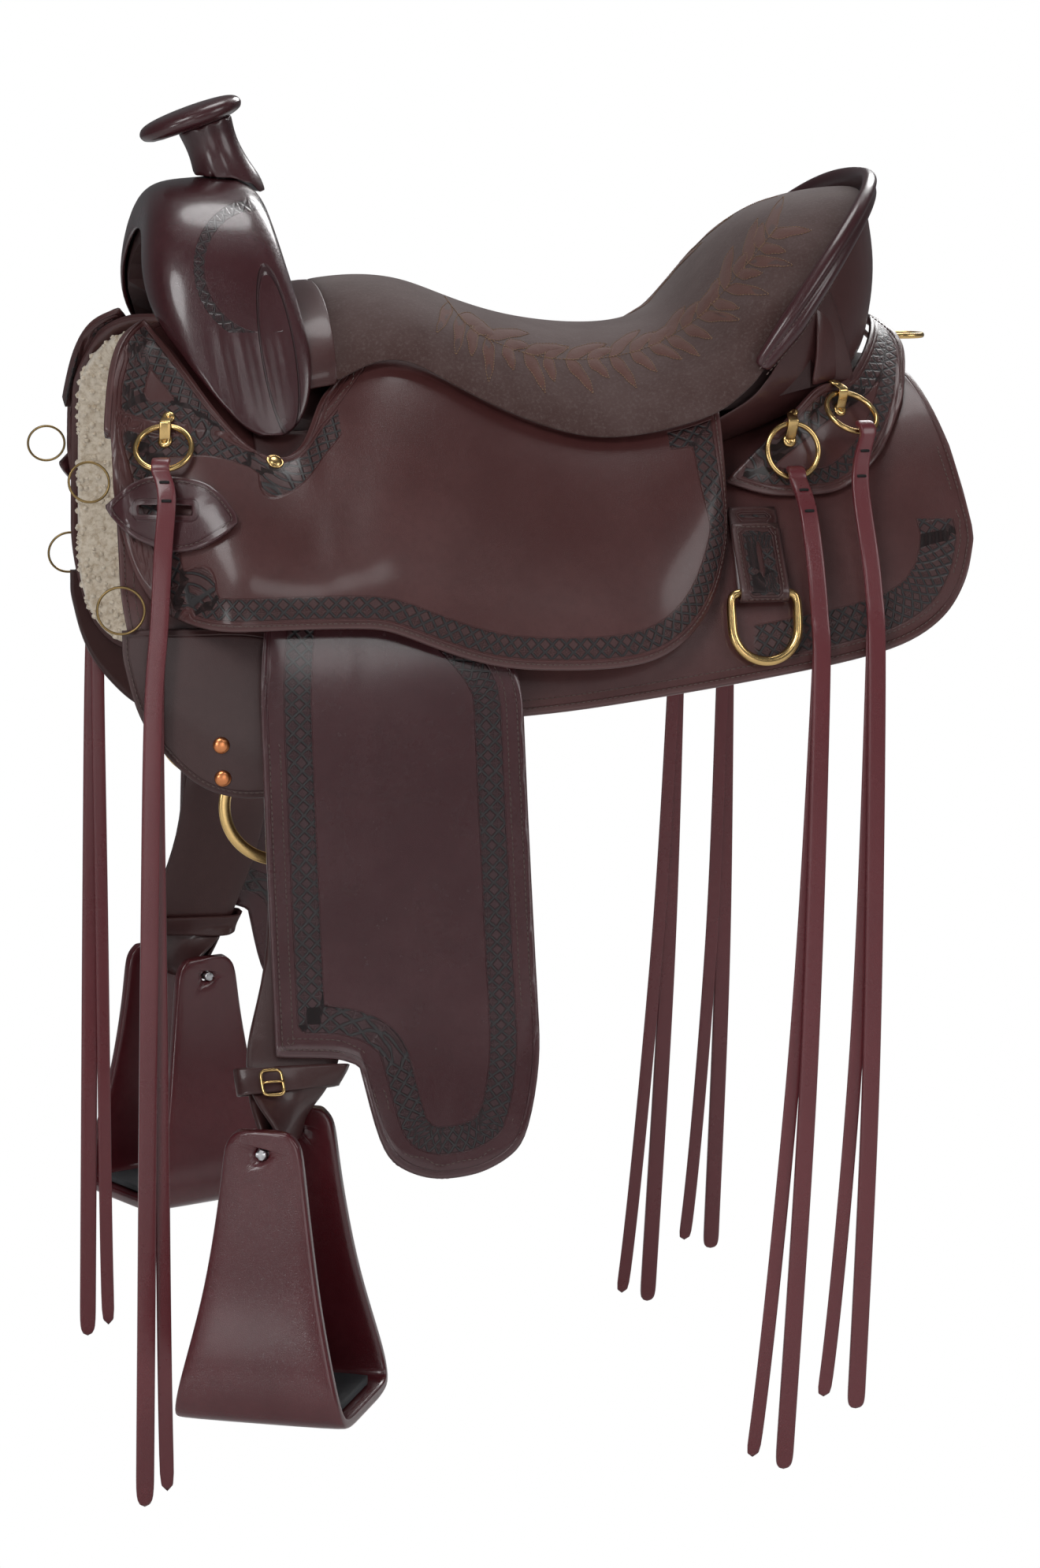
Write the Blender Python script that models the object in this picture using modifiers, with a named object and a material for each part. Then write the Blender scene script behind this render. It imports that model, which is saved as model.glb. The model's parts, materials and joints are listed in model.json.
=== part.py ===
"""Western trail saddle, piece by piece on its tree.

Metres, +Z up. The front points to -X and the rider's left to -Y. The origin lies on the centre plane
under the seat, on the ridge of the rack that carries the fleece.
"""
import math

import bmesh
import bpy
from mathutils import Matrix, Vector

SIDES = {"left": -1, "right": 1}
GAP = 0.0003  # between pieces that touch
FACET_GAP = 0.0013  # between curved faces, which are cut into different facets

# The drape: half ellipses across the saddle, along a ridge that rises to both ends
DRAPE_HALF_WIDTH = 0.240
DRAPE_HEIGHT = 0.300
RIDGE_HEIGHT = 0.025
FRONT_RISE = 0.075
REAR_RISE = 0.025
RISE_REACH = 0.290
FRONT_NARROWING = 0.022
SKIRT_THICKNESS = 0.005
FLEECE_THICKNESS = 0.014
FLEECE_INSET = 0.005
FLEECE_GAP = 0.0036

# Skirt outline: (x, height at the side) pairs
SKIRT_LOW = [(-0.322, -0.120), (-0.312, -0.175), (-0.290, -0.210), (-0.240, -0.222), (-0.023, -0.216),
             (0.105, -0.201), (0.207, -0.185), (0.273, -0.171), (0.310, -0.150), (0.332, -0.118), (0.340, -0.090)]
SKIRT_COLUMNS = [-0.322, -0.316, -0.304, -0.284, -0.255, -0.215, -0.165, -0.105, -0.045, 0.015, 0.075, 0.135,
                 0.190, 0.240, 0.280, 0.304, 0.318, 0.327, 0.333, 0.337, 0.340]
SKIRT_TOP = [(-0.322, 0.020), (-0.305, 0.062), (-0.275, 0.080), (-0.200, 0.055), (-0.050, 0.022),
             (0.050, 0.018), (0.200, 0.030), (0.290, 0.046), (0.312, 0.044), (0.322, 0.030), (0.332, -0.015),
             (0.340, -0.080)]

# Tree
BAR_FRONT_X = -0.262
BAR_REAR_X = 0.252
BAR_INNER_Y = 0.045
BAR_OUTER_Y = 0.126
BAR_TIP_Y = 0.100
BAR_SLOT_Y = 0.150
BAR_SLOT_X = -0.176
BAR_SLOT_LENGTH = 0.086
BAR_GAP = 0.0017
BAR_THICKNESS = 0.022
FORK_FOOT_DEPTH = 0.050

# Swell: (half breadth, height, front x, rear x) of its outer line from the crown down to the tip
SWELL = [(0.000, 0.187, -0.284, -0.184), (0.045, 0.182, -0.285, -0.184), (0.086, 0.164, -0.288, -0.182),
         (0.118, 0.132, -0.290, -0.177), (0.136, 0.092, -0.285, -0.170), (0.149, 0.052, -0.263, -0.165),
         (0.159, 0.020, -0.240, -0.170), (0.1645, 0.001, -0.222, -0.181), (0.1665, -0.0055, -0.208, -0.192)]
SWELL_DEPTHS = [0.040, 0.040, 0.042, 0.040, 0.028, 0.010, 0.006, 0.0045, 0.0045]
SWELL_LEATHER = 0.004
SWELL_SQUARENESS = 0.62

# Horn, along a line that leans forward
HORN_BASE = Vector((-0.212, 0.0, 0.178))
HORN_LEAN = math.radians(20)
HORN_POST_RADIUS = 0.010
HORN_NECK = [(0.0275, 0.000), (0.0235, 0.012), (0.0205, 0.028), (0.0205, 0.040), (0.0225, 0.052)]
HORN_CAP_LENGTH = 0.086
HORN_CAP_WIDTH = 0.074
HORN_CAP_THICKNESS = 0.017
HORN_CAP_FORWARD = 0.009

# Seat: (centre x, centre z, edge x, edge half breadth, edge z) from the front to the cantle's rim
SEAT = [(-0.150, 0.106, -0.150, 0.146, 0.032), (-0.117, 0.110, -0.122, 0.153, 0.048),
        (-0.080, 0.108, -0.095, 0.158, 0.050), (-0.045, 0.095, -0.060, 0.167, 0.030),
        (-0.006, 0.081, -0.020, 0.173, 0.010), (0.035, 0.073, 0.020, 0.176, -0.005),
        (0.075, 0.070, 0.055, 0.178, -0.011), (0.115, 0.073, 0.092, 0.178, -0.007),
        (0.145, 0.088, 0.122, 0.177, 0.000), (0.170, 0.118, 0.140, 0.176, 0.006),
        (0.195, 0.146, 0.152, 0.175, 0.012), (0.225, 0.166, 0.160, 0.174, 0.018),
        (0.262, 0.176, 0.168, 0.172, 0.024), (0.298, 0.178, 0.175, 0.170, 0.030)]
SEAT_PAD = 0.014
SEAT_EDGE = 0.005
SEAT_GAP = 0.0025
SEAT_CROWN = 1.0
CANTLE_CROWN = 1.25
GROUND_SEAT_SPREAD = 0.54
CANTLE_START = 0.62
CANTLE_SPREAD = 0.74
CANTLE_SIDE_LIFT = 0.023
CANTLE_LEATHER = 0.003
CANTLE_BACK_INSET = 0.002
CANTLE_FULLNESS = 0.006
BINDING_RADIUS = 0.0065
BINDING_OUT = 0.003

# Seat jockey outline: (x, z) pairs, and how far its belly stands out over the fender
JOCKEY_TOP = [(-0.325, 0.000), (-0.318, 0.045), (-0.305, 0.068), (-0.290, 0.078), (-0.272, 0.050),
              (-0.240, 0.004), (-0.218, -0.017), (-0.197, -0.024), (-0.178, -0.018), (-0.166, 0.004)]
JOCKEY_LOW = [(-0.325, -0.045), (-0.318, -0.085), (-0.305, -0.118), (-0.290, -0.133), (-0.254, -0.144),
              (-0.178, -0.143), (-0.132, -0.144), (-0.087, -0.162), (-0.025, -0.178), (0.062, -0.179),
              (0.099, -0.165), (0.126, -0.141), (0.140, -0.111), (0.148, -0.080)]
JOCKEY_COLUMNS = [-0.325, -0.320, -0.312, -0.302, -0.290, -0.276, -0.262, -0.248, -0.234, -0.220, -0.207,
                  -0.195, -0.184, -0.174, -0.165, -0.156, -0.145, -0.128, -0.105, -0.075, -0.040, 0.000, 0.040,
                  0.080, 0.110, 0.130, 0.142, 0.147]
JOCKEY_FRONT_X = JOCKEY_COLUMNS[0]
JOCKEY_REAR_X = JOCKEY_COLUMNS[-1]
JOCKEY_THICKNESS = 0.005
JOCKEY_BELLY = 0.2573
JOCKEY_EDGE_GAP = 0.006
JOCKEY_FLUSH = 0.011
JOCKEY_OVER_BAR = 0.025
JOCKEY_HEEL = 0.014
JOCKEY_TUCK = 0.008
JOCKEY_TUCK_IN = 0.0095
JOCKEY_TUCK_ROWS = 1 / 8
JOCKEY_LEAST_TUCK = 0.002
JOCKEY_BULGE = 0.85

# Rear jockey: lower edge as (x, z) pairs
REAR_JOCKEY_LOW = [(0.150, -0.050), (0.190, -0.060), (0.232, -0.058), (0.268, -0.038), (0.294, -0.007),
                   (0.310, 0.018), (0.320, 0.038)]
REAR_JOCKEY_THICKNESS = 0.004

# Front rigging
PLATE_LOW = [(-0.322, -0.165), (-0.313, -0.205), (-0.297, -0.232), (-0.267, -0.262), (-0.240, -0.272),
             (-0.212, -0.272), (-0.196, -0.258), (-0.188, -0.235)]
PLATE_TOP_Z = -0.146
PLATE_REAR_DROP = 0.008
PLATE_THICKNESS = 0.005
DEE_CENTRE_X = -0.205
DEE_CENTRE_Z = -0.281
DEE_RADIUS = 0.042
DEE_BAND = 0.010
DEE_THICKNESS = 0.004

# Latigo keeper: (x, z) pairs
KEEPER_LOW = [(-0.331, -0.056), (-0.320, -0.072), (-0.305, -0.080), (-0.283, -0.088), (-0.261, -0.081),
              (-0.237, -0.064)]
KEEPER_TOP = [(-0.331, -0.053), (-0.318, -0.040), (-0.302, -0.031), (-0.262, -0.033), (-0.248, -0.041),
              (-0.237, -0.059)]
KEEPER_THICKNESS = 0.004
KEEPER_GAP = 0.0030
KEEPER_SLOT = (0.038, 0.007)
KEEPER_SLOT_CENTRE = (-0.288, -0.056)

# Rings: (x, z) where a string ring hangs, and (x, z, radius) of the breast rings
RING_RADIUS = 0.0215
RING_WIRE = 0.0026
RING_STANDOFF = 0.0037
FRONT_RING_LEAN = math.radians(40)
FRONT_RING = (-0.283, 0.004)
REAR_RING_LOW = (0.203, -0.001)
REAR_RING_HIGH = (0.249, 0.020)
BREAST_WIRE = 0.0013
BREAST_RINGS = {"upper": (-0.3425, -0.037, 0.0155), "lower": (-0.322, -0.131, 0.0180)}

# Saddle strings: routes as (x, half breadth, z)
STRING_WIDTH = 0.014
STRING_THICKNESS = 0.005
STRING_ROUTES = {
    "front": [(-0.288, 0.2245, -0.045), (-0.292, 0.2320, -0.085), (-0.296, 0.2355, -0.140),
              (-0.302, 0.2355, -0.220), (-0.308, 0.2355, -0.450), (-0.316, 0.2355, -0.820)],
    "rear_low": [(0.207, 0.2120, -0.070), (0.210, 0.2340, -0.140), (0.210, 0.2420, -0.210),
                 (0.203, 0.2440, -0.500), (0.186, 0.2440, -0.818)],
    "rear_high": [(0.250, 0.2020, -0.045), (0.253, 0.2310, -0.120), (0.254, 0.2420, -0.200),
                  (0.253, 0.2440, -0.500), (0.244, 0.2440, -0.772)],
}

# Rear billet and its dee
BILLET_X = 0.169
BILLET_TOP_Z = -0.067
BILLET_WIDTH = 0.038
BILLET_THICKNESS = 0.003
REAR_DEE_WIDTH = 0.052
REAR_DEE_DROP = 0.053
REAR_DEE_WIRE = 0.0042
REAR_DEE_BAR_Z = -0.131
REAR_DEE_LEAN = math.radians(14)

# Fender and stirrup leather: their middle line as (z, half breadth) and (z, x) pairs
SWING_X = -0.186
SWING_Z = -0.004
HANG_Y = [(-0.560, 0.3320), (-0.540, 0.3295), (-0.513, 0.3260), (-0.485, 0.3195), (-0.450, 0.3075),
          (-0.300, 0.2645), (-0.240, 0.2500), (-0.210, 0.2435), (-0.180, 0.2365), (-0.150, 0.2290),
          (-0.120, 0.2170), (-0.090, 0.2045), (-0.060, 0.1905), (-0.030, 0.1718), (-0.014, 0.1590),
          (-0.006, 0.1523), (0.006, 0.1523)]
HANG_X = [(-0.513, -0.221), (-0.470, -0.212), (-0.430, -0.203), (-0.380, -0.186), (-0.060, -0.178),
          (0.006, -0.176)]
LEATHER_WIDTH = 0.074
LEATHER_THICKNESS = 0.004
LEATHER_TOP_Z = -0.003
LEATHER_END_Z = -0.330
LEATHER_LOW_WIDTH = 0.058
TWIST_START_Z = -0.466
TWIST_END_Z = -0.507
TWIST = math.radians(65)
HOBBLE_TOP_Z = -0.4615
HOBBLE_HEIGHT = 0.017
HOBBLE_THICKNESS = 0.003
FENDER_THICKNESS = 0.0045
FENDER_LOW = [(-0.223, -0.452), (-0.166, -0.456), (-0.160, -0.462), (-0.157, -0.495), (-0.150, -0.518),
              (-0.140, -0.531), (-0.122, -0.541), (-0.104, -0.545), (-0.080, -0.543), (-0.058, -0.535),
              (-0.040, -0.521), (-0.029, -0.500), (-0.024, -0.460)]
FENDER_TOP = [(-0.223, -0.180), (-0.215, -0.110), (-0.200, -0.070), (-0.150, -0.064), (-0.110, -0.085),
              (-0.070, -0.125), (-0.040, -0.158), (-0.024, -0.184)]

# Stirrup, about its bolt: (half width, drop, half depth) of the band from its top to the tread
BOLT_Z = -0.513
BOLT_RADIUS = 0.004
BOLT_HALF_LENGTH = 0.0495
STIRRUP_BAND = [(0.0420, -0.017, 0.0190), (0.0420, -0.010, 0.0270), (0.0420, 0.000, 0.0300),
                (0.0425, 0.030, 0.0330), (0.0455, 0.070, 0.0385), (0.0505, 0.110, 0.0450),
                (0.0575, 0.150, 0.0545), (0.0620, 0.180, 0.0620), (0.0580, 0.196, 0.0655),
                (0.0400, 0.199, 0.0655), (0.0200, 0.199, 0.0655)]
STIRRUP_WALL = 0.011
STIRRUP_ROUND = 0.002
TREAD_SIZE = (0.088, 0.112, 0.005)

# Crupper dee behind the cantle
CRUPPER_X = 0.318
CRUPPER_Z = 0.0565
CRUPPER_RADIUS = 0.019
CRUPPER_WIRE = 0.0028
CRUPPER_STRAP_WIDTH = 0.010
CRUPPER_STRAP_THICKNESS = 0.003
CRUPPER_PLAY = 0.001


def smooth_line(points):
    """A function through (x, y) pairs that bends smoothly and keeps between its points."""
    points = sorted(points)
    slopes = [(b[1] - a[1]) / (b[0] - a[0]) for a, b in zip(points, points[1:])]
    bends = [slopes[0]]
    for before, after in zip(slopes, slopes[1:]):
        bends.append(0.0 if before * after <= 0 else 2 * before * after / (before + after))
    bends.append(slopes[-1])

    def value(x):
        x = min(max(x, points[0][0]), points[-1][0])
        i = max(k for k in range(len(points) - 1) if points[k][0] <= x)
        step = points[i + 1][0] - points[i][0]
        t = (x - points[i][0]) / step
        start = (1 + 2 * t) * (1 - t) ** 2 * points[i][1] + t * (1 - t) ** 2 * step * bends[i]
        return start + t * t * (3 - 2 * t) * points[i + 1][1] - t * t * (1 - t) * step * bends[i + 1]

    return value


def through(points, t):
    """The point at t, from 0 to 1, of an even spline through the points."""
    place = t * (len(points) - 1)
    i = min(int(place), len(points) - 2)
    t = place - i
    before, start, end, after = (points[min(max(k, 0), len(points) - 1)] for k in (i - 1, i, i + 1, i + 2))
    return tuple(0.5 * (2 * b + (c - a) * t + (2 * a - 5 * b + 4 * c - d) * t * t
                        + (3 * b - a - 3 * c + d) * t ** 3)
                 for a, b, c, d in zip(before, start, end, after))


def blend(a, b, t):
    return a + (b - a) * t


def step_between(low, high, x):
    t = min(max((x - low) / (high - low), 0.0), 1.0)
    return t * t * (3 - 2 * t)


def ridge(x):
    rise = FRONT_RISE if x < 0 else REAR_RISE
    return RIDGE_HEIGHT + rise * (x / RISE_REACH) ** 2


def drape_width(x):
    return DRAPE_HALF_WIDTH - FRONT_NARROWING * max(-x / RISE_REACH, 0.0) ** 2


def drape_angle(x, z, off=0.0):
    """The angle from the ridge at which the drape, raised by off, has the height z."""
    return math.acos(min(max((z - ridge(x) + DRAPE_HEIGHT) / (DRAPE_HEIGHT + off), -1.0), 1.0))


def drape(x, angle, off, side):
    """A point on the drape, raised by off."""
    return Vector((x, side * (drape_width(x) + off) * math.sin(angle),
                   ridge(x) - DRAPE_HEIGHT + (DRAPE_HEIGHT + off) * math.cos(angle)))


def drape_y(x, z, off=0.0):
    return (drape_width(x) + off) * math.sin(drape_angle(x, z, off))


def drape_z(x, y, off=0.0):
    across = min(abs(y) / (drape_width(x) + off), 1.0)
    return ridge(x) - DRAPE_HEIGHT + (DRAPE_HEIGHT + off) * math.sqrt(1 - across * across)


SKIRT_LOW_LINE = smooth_line(SKIRT_LOW)
SKIRT_TOP_LINE = smooth_line(SKIRT_TOP)
JOCKEY_TOP_LINE = smooth_line(JOCKEY_TOP)
JOCKEY_LOW_LINE = smooth_line(JOCKEY_LOW)
REAR_JOCKEY_LINE = smooth_line(REAR_JOCKEY_LOW)
PLATE_LINE = smooth_line(PLATE_LOW)
KEEPER_LOW_LINE = smooth_line(KEEPER_LOW)
KEEPER_TOP_LINE = smooth_line(KEEPER_TOP)
HANG_Y_LINE = smooth_line(HANG_Y)
HANG_X_LINE = smooth_line(HANG_X)
FENDER_LOW_LINE = smooth_line(FENDER_LOW)
FENDER_TOP_LINE = smooth_line(FENDER_TOP)


# Blender helpers

def material(name, colour, roughness, metallic=0.0):
    made = bpy.data.materials.new(name)
    made.use_nodes = True
    shader = made.node_tree.nodes["Principled BSDF"]
    shader.inputs["Base Color"].default_value = (*colour, 1.0)
    shader.inputs["Roughness"].default_value = roughness
    shader.inputs["Metallic"].default_value = metallic
    return made


def collection(name):
    made = bpy.data.collections.new(name)
    bpy.context.scene.collection.children.link(made)
    return made


PARTS = collection("trail_saddle")
CUTTERS = collection("cutters")
LEATHER = material("brown_leather", (0.070, 0.030, 0.026), 0.42)
LEATHER_DARK = material("dark_leather", (0.032, 0.014, 0.012), 0.35)
LEATHER_RED = material("oxblood_leather", (0.155, 0.028, 0.034), 0.40)
SUEDE = material("brown_suede", (0.092, 0.052, 0.042), 0.90)
FLEECE = material("fleece", (0.740, 0.660, 0.560), 0.95)
WOOD = material("tree_wood", (0.420, 0.290, 0.160), 0.60)
BRASS = material("brass", (0.680, 0.480, 0.160), 0.25, 1.0)
STEEL = material("steel", (0.560, 0.560, 0.560), 0.30, 1.0)
TREAD = material("tread_leather", (0.050, 0.046, 0.050), 0.80)


def place(name, mesh, finish, sharp=40):
    """A mesh as a named object of the saddle, shaded smooth but for its sharp edges."""
    mesh.materials.clear()
    mesh.materials.append(finish)
    mesh.shade_smooth()
    mesh.set_sharp_from_angle(angle=math.radians(sharp))
    made = bpy.data.objects.new(name, mesh)
    PARTS.objects.link(made)
    return made


def mesh_from(bm, name):
    mesh = bpy.data.meshes.new(name)
    bm.to_mesh(mesh)
    bm.free()
    return mesh


def spread_ends(t):
    """Even steps made finer towards both ends."""
    return 0.5 - 0.5 * math.cos(math.pi * t)


def sheet(name, columns, rows, surface, side, thickness, finish, offset=-1.0):
    """A panel laid on surface(u, v), v upwards on the saddle's side, with its thickness inwards."""
    bm = bmesh.new()
    bmesh.ops.create_grid(bm, x_segments=columns, y_segments=rows, size=0.5)
    for vertex in bm.verts:
        vertex.co = surface(vertex.co.x + 0.5, vertex.co.y + 0.5)
    if side > 0:
        bmesh.ops.reverse_faces(bm, faces=bm.faces[:])
    made = place(name, mesh_from(bm, name), finish)
    wall = made.modifiers.new("thickness", "SOLIDIFY")
    wall.thickness = thickness
    wall.offset = offset
    wall.use_even_offset = True
    wall.use_quality_normals = True
    return made


def slab(name, columns, rows, top, bottom, finish):
    """A closed block between top(u, v) and bottom(u, v)."""
    bm = bmesh.new()
    bmesh.ops.create_grid(bm, x_segments=columns, y_segments=rows, size=0.5)
    grown = bmesh.ops.extrude_face_region(bm, geom=bm.faces[:], use_keep_orig=True)
    upper = {item for item in grown["geom"] if isinstance(item, bmesh.types.BMVert)}
    for vertex in bm.verts:
        u, v = vertex.co.x + 0.5, vertex.co.y + 0.5
        vertex.co = top(u, v) if vertex in upper else bottom(u, v)
    bmesh.ops.recalc_face_normals(bm, faces=bm.faces[:])
    return place(name, mesh_from(bm, name), finish)


def loft(rings, closed=False):
    """A solid skin through rings of points, capped at its ends unless it closes on itself."""
    bm = bmesh.new()
    rows = [[bm.verts.new(point) for point in ring] for ring in rings]
    pairs = list(zip(rows, rows[1:]))
    if closed:
        pairs.append((rows[-1], rows[0]))
    for row, following in pairs:
        for k in range(len(row)):
            after = (k + 1) % len(row)
            bm.faces.new((row[k], row[after], following[after], following[k]))
    if not closed:
        bm.faces.new(rows[0])
        bm.faces.new(rows[-1])
    bmesh.ops.recalc_face_normals(bm, faces=bm.faces[:])
    return bm


def strap_rings(stations, strips=1):
    """The section of a flat strap at each station, from its middle, half width and half thickness."""
    steps = [1 - 2 * k / strips for k in range(strips + 1)]
    return [[mid + wide * k + thick for k in steps] + [mid + wide * k - thick for k in reversed(steps)]
            for mid, wide, thick in stations]


def flat_strap(points, wide, thickness):
    """Stations of a strap along points, with its width along the vector wide."""
    stations = []
    for k, point in enumerate(points):
        along = points[min(k + 1, len(points) - 1)] - points[max(k - 1, 0)]
        stations.append((point, wide, along.cross(wide).normalized() * thickness / 2))
    return stations


def cut(target, cutter):
    knife = target.modifiers.new("cut", "BOOLEAN")
    knife.operation = "DIFFERENCE"
    knife.solver = "EXACT"
    knife.object = cutter


def as_cutter(made):
    PARTS.objects.unlink(made)
    CUTTERS.objects.link(made)
    made.hide_render = True
    made.display_type = "WIRE"
    return made


def bent_wire(name, points, radius, finish, closed, sides=2):
    """A round wire along points."""
    curve = bpy.data.curves.new(name, "CURVE")
    curve.dimensions = "3D"
    spline = curve.splines.new("POLY")
    spline.points.add(len(points) - 1)
    for target, point in zip(spline.points, points):
        target.co = (*point, 1.0)
    spline.use_cyclic_u = closed
    spline.use_smooth = True
    curve.bevel_depth = radius
    curve.bevel_resolution = sides
    curve.use_fill_caps = not closed
    curve.materials.append(finish)
    made = bpy.data.objects.new(name, curve)
    PARTS.objects.link(made)
    return made


def ring(name, centre, radius, wire, normal, finish, steps=18, sides=6):
    bpy.ops.mesh.primitive_torus_add(major_segments=steps, minor_segments=sides,
                                     major_radius=radius, minor_radius=wire)
    torus = bpy.context.object
    mesh = torus.data.copy()
    bpy.data.objects.remove(torus)
    mesh.transform(Matrix.Translation(centre) @ normal.to_track_quat("Z", "Y").to_matrix().to_4x4())
    return place(name, mesh, finish, sharp=80)


def pivot(made, where):
    """Moves an object's origin onto its joint and leaves its shape where it is."""
    made.data.transform(Matrix.Translation(-Vector(where)))
    made.location = where


# Tree

def tree_top(x, y):
    return drape_z(x, y, BAR_GAP) + BAR_THICKNESS


def bar_edge(x):
    """The outer edge of a bar, which widens where the stirrup leather hangs over it."""
    half = BAR_SLOT_LENGTH / 2
    wide = (step_between(-half - 0.014, -half, x - BAR_SLOT_X)
            * (1 - step_between(half, half + 0.014, x - BAR_SLOT_X)))
    tip = step_between(BAR_REAR_X - 0.07, BAR_REAR_X, x) + 1 - step_between(BAR_FRONT_X, BAR_FRONT_X + 0.02, x)
    return blend(blend(BAR_OUTER_Y, BAR_TIP_Y, tip), BAR_SLOT_Y, wide)


def tree_bar(name, side):
    def spot(u, v):
        x = blend(BAR_FRONT_X, BAR_REAR_X, u)
        return x, blend(BAR_INNER_Y, bar_edge(x), v)

    def under(u, v):
        x, y = spot(u, v)
        return Vector((x, side * y, drape_z(x, y, BAR_GAP)))

    def over(u, v):
        x, y = spot(u, v)
        return Vector((x, side * y, tree_top(x, y)))

    return slab(name, 18, 4, over, under, WOOD)


def swell_station(t):
    """The outer point, outward direction, middle x, half length and depth at t, -1 to 1 over the arch."""
    breadth, height, front, rear = through(SWELL, abs(t))
    (depth,) = through([(d,) for d in SWELL_DEPTHS], abs(t))
    ahead = through(SWELL, min(abs(t) + 0.01, 1.0))
    behind = through(SWELL, max(abs(t) - 0.01, 0.0))
    run = Vector((0.0, ahead[0] - behind[0], ahead[1] - behind[1]))
    out = Vector((0.0, -run.z, run.y)).normalized()
    if abs(t) < 0.01:
        out = Vector((0.0, 0.0, 1.0))
    side = -1 if t < 0 else 1
    return (Vector((0.0, side * breadth, height)), Vector((0.0, side * out.y, out.z)),
            (front + rear) / 2, (rear - front) / 2, depth)


def swell_point(t, turn, inset=0.0):
    """A point on the swell's skin; turn runs from -90 degrees at the front to 90 at the back."""
    outer, out, middle, half, depth = swell_station(t)
    half = max(half - inset, 0.001)
    depth = max(depth - inset, 0.001)
    sine, cosine = math.sin(turn), max(math.cos(turn), 0.0)
    along = math.copysign(abs(sine) ** SWELL_SQUARENESS, sine)
    return (outer - out * (inset + depth * (1 - cosine ** SWELL_SQUARENESS))
            + Vector((middle + half * along, 0.0, 0.0)))


def swell_solid(name, inset, reach, foot_depth, finish):
    """The swell as one block, with its inner face foot_depth under the skin."""
    rings = []
    for k in range(-9, 10):
        t = reach * k / 9
        turns = [math.radians(a) for a in (-90, -65, -40, -15, 15, 40, 65, 90)]
        skin = [swell_point(t, turn, inset) for turn in turns]
        outer, out, middle, half, _depth = swell_station(t)
        inner = outer - out * foot_depth
        rear = inner + Vector((middle + half - inset, 0.0, 0.0))
        front = inner + Vector((middle - half + inset, 0.0, 0.0))
        rings.append(skin + [rear, front])
    return place(name, mesh_from(loft(rings), name), finish)


def tree_fork():
    fork = swell_solid("tree_fork", SWELL_LEATHER + 2 * FACET_GAP, 0.68, FORK_FOOT_DEPTH, WOOD)

    def over(u, v):
        x, y = blend(-0.32, -0.13, u), blend(-0.19, 0.19, v)
        return Vector((x, y, tree_top(x, y) + FACET_GAP))

    bed = as_cutter(slab("fork_bed", 14, 18, over, lambda u, v: over(u, v) - Vector((0, 0, 0.25)), WOOD))
    cut(fork, bed)
    socket = as_cutter(horn_turned("horn_socket", [(HORN_POST_RADIUS + GAP, -0.024),
                                                   (HORN_POST_RADIUS + GAP, 0.080)]))
    cut(fork, socket)
    return fork


def swell_cover():
    def skin(u, v):
        return swell_point(blend(-1, 1, v), math.radians(blend(-90, 90, u)))

    cover = sheet("swell_cover", 8, 20, skin, -1, SWELL_LEATHER, LEATHER_DARK)
    hole = as_cutter(horn_turned("horn_hole", [(HORN_POST_RADIUS + GAP, -0.030),
                                               (HORN_POST_RADIUS + GAP, 0.080)]))
    cut(cover, hole)
    return cover


# Horn

def horn_frame():
    """The horn's own frame: its line is local Z, and its front is local -X."""
    return Matrix.Translation(HORN_BASE) @ Matrix.Rotation(-HORN_LEAN, 4, "Y")


def horn_turned(name, profile):
    """A solid turned about the horn's line from (radius, height) pairs, bottom to top."""
    steps = 20
    rings = []
    for radius, height in profile:
        rings.append([horn_frame() @ Vector((radius * math.cos(2 * math.pi * k / steps),
                                             radius * math.sin(2 * math.pi * k / steps), height))
                      for k in range(steps)])
    return place(name, mesh_from(loft(rings), name), STEEL)


def horn_post():
    top = HORN_NECK[-1][1] - 0.001
    return horn_turned("horn_post", [(HORN_POST_RADIUS, -0.023), (HORN_POST_RADIUS, top)])


def horn_neck():
    profile = [(HORN_NECK[0][0], -0.012)] + HORN_NECK
    neck = horn_turned("horn_neck", profile)
    neck.data.materials.clear()
    neck.data.materials.append(LEATHER_DARK)
    cut(neck, as_cutter(swell_solid("neck_seat", -FACET_GAP, 0.60, 0.035, WOOD)))
    cut(neck, as_cutter(horn_turned("neck_bore", [(HORN_POST_RADIUS + GAP, -0.030),
                                                  (HORN_POST_RADIUS + GAP, 0.090)])))
    return neck


def horn_cap():
    """A crowned leather disc, longer than wide, on top of the neck."""
    profile = [(0.78, 0.0), (0.95, 0.16), (1.0, 0.42), (0.97, 0.66), (0.86, 0.84), (0.62, 0.95), (0.30, 1.0)]
    base = HORN_NECK[-1][1] + GAP
    steps = 24
    rings = []
    for share, height in profile:
        rings.append([horn_frame() @ Vector((
            share * HORN_CAP_LENGTH / 2 * math.cos(2 * math.pi * k / steps) - HORN_CAP_FORWARD,
            share * HORN_CAP_WIDTH / 2 * math.sin(2 * math.pi * k / steps),
            base + HORN_CAP_THICKNESS * height)) for k in range(steps)])
    return place("horn_cap", mesh_from(loft(rings), "horn_cap"), LEATHER_DARK)


# Seat and cantle

def seat_skin(s, f):
    """A point on top of the seat: s from front to rim, f from -1 at the left edge to 1."""
    centre_x, centre_z, edge_x, edge_y, edge_z = through(SEAT, s)
    turn = f * math.pi / 2
    fall = (1 - math.cos(turn))
    crown = blend(SEAT_CROWN, CANTLE_CROWN, step_between(0.6, 1.0, s))
    return Vector((blend(centre_x, edge_x, fall), edge_y * math.sin(turn),
                   blend(centre_z, edge_z, fall ** crown)))


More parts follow.
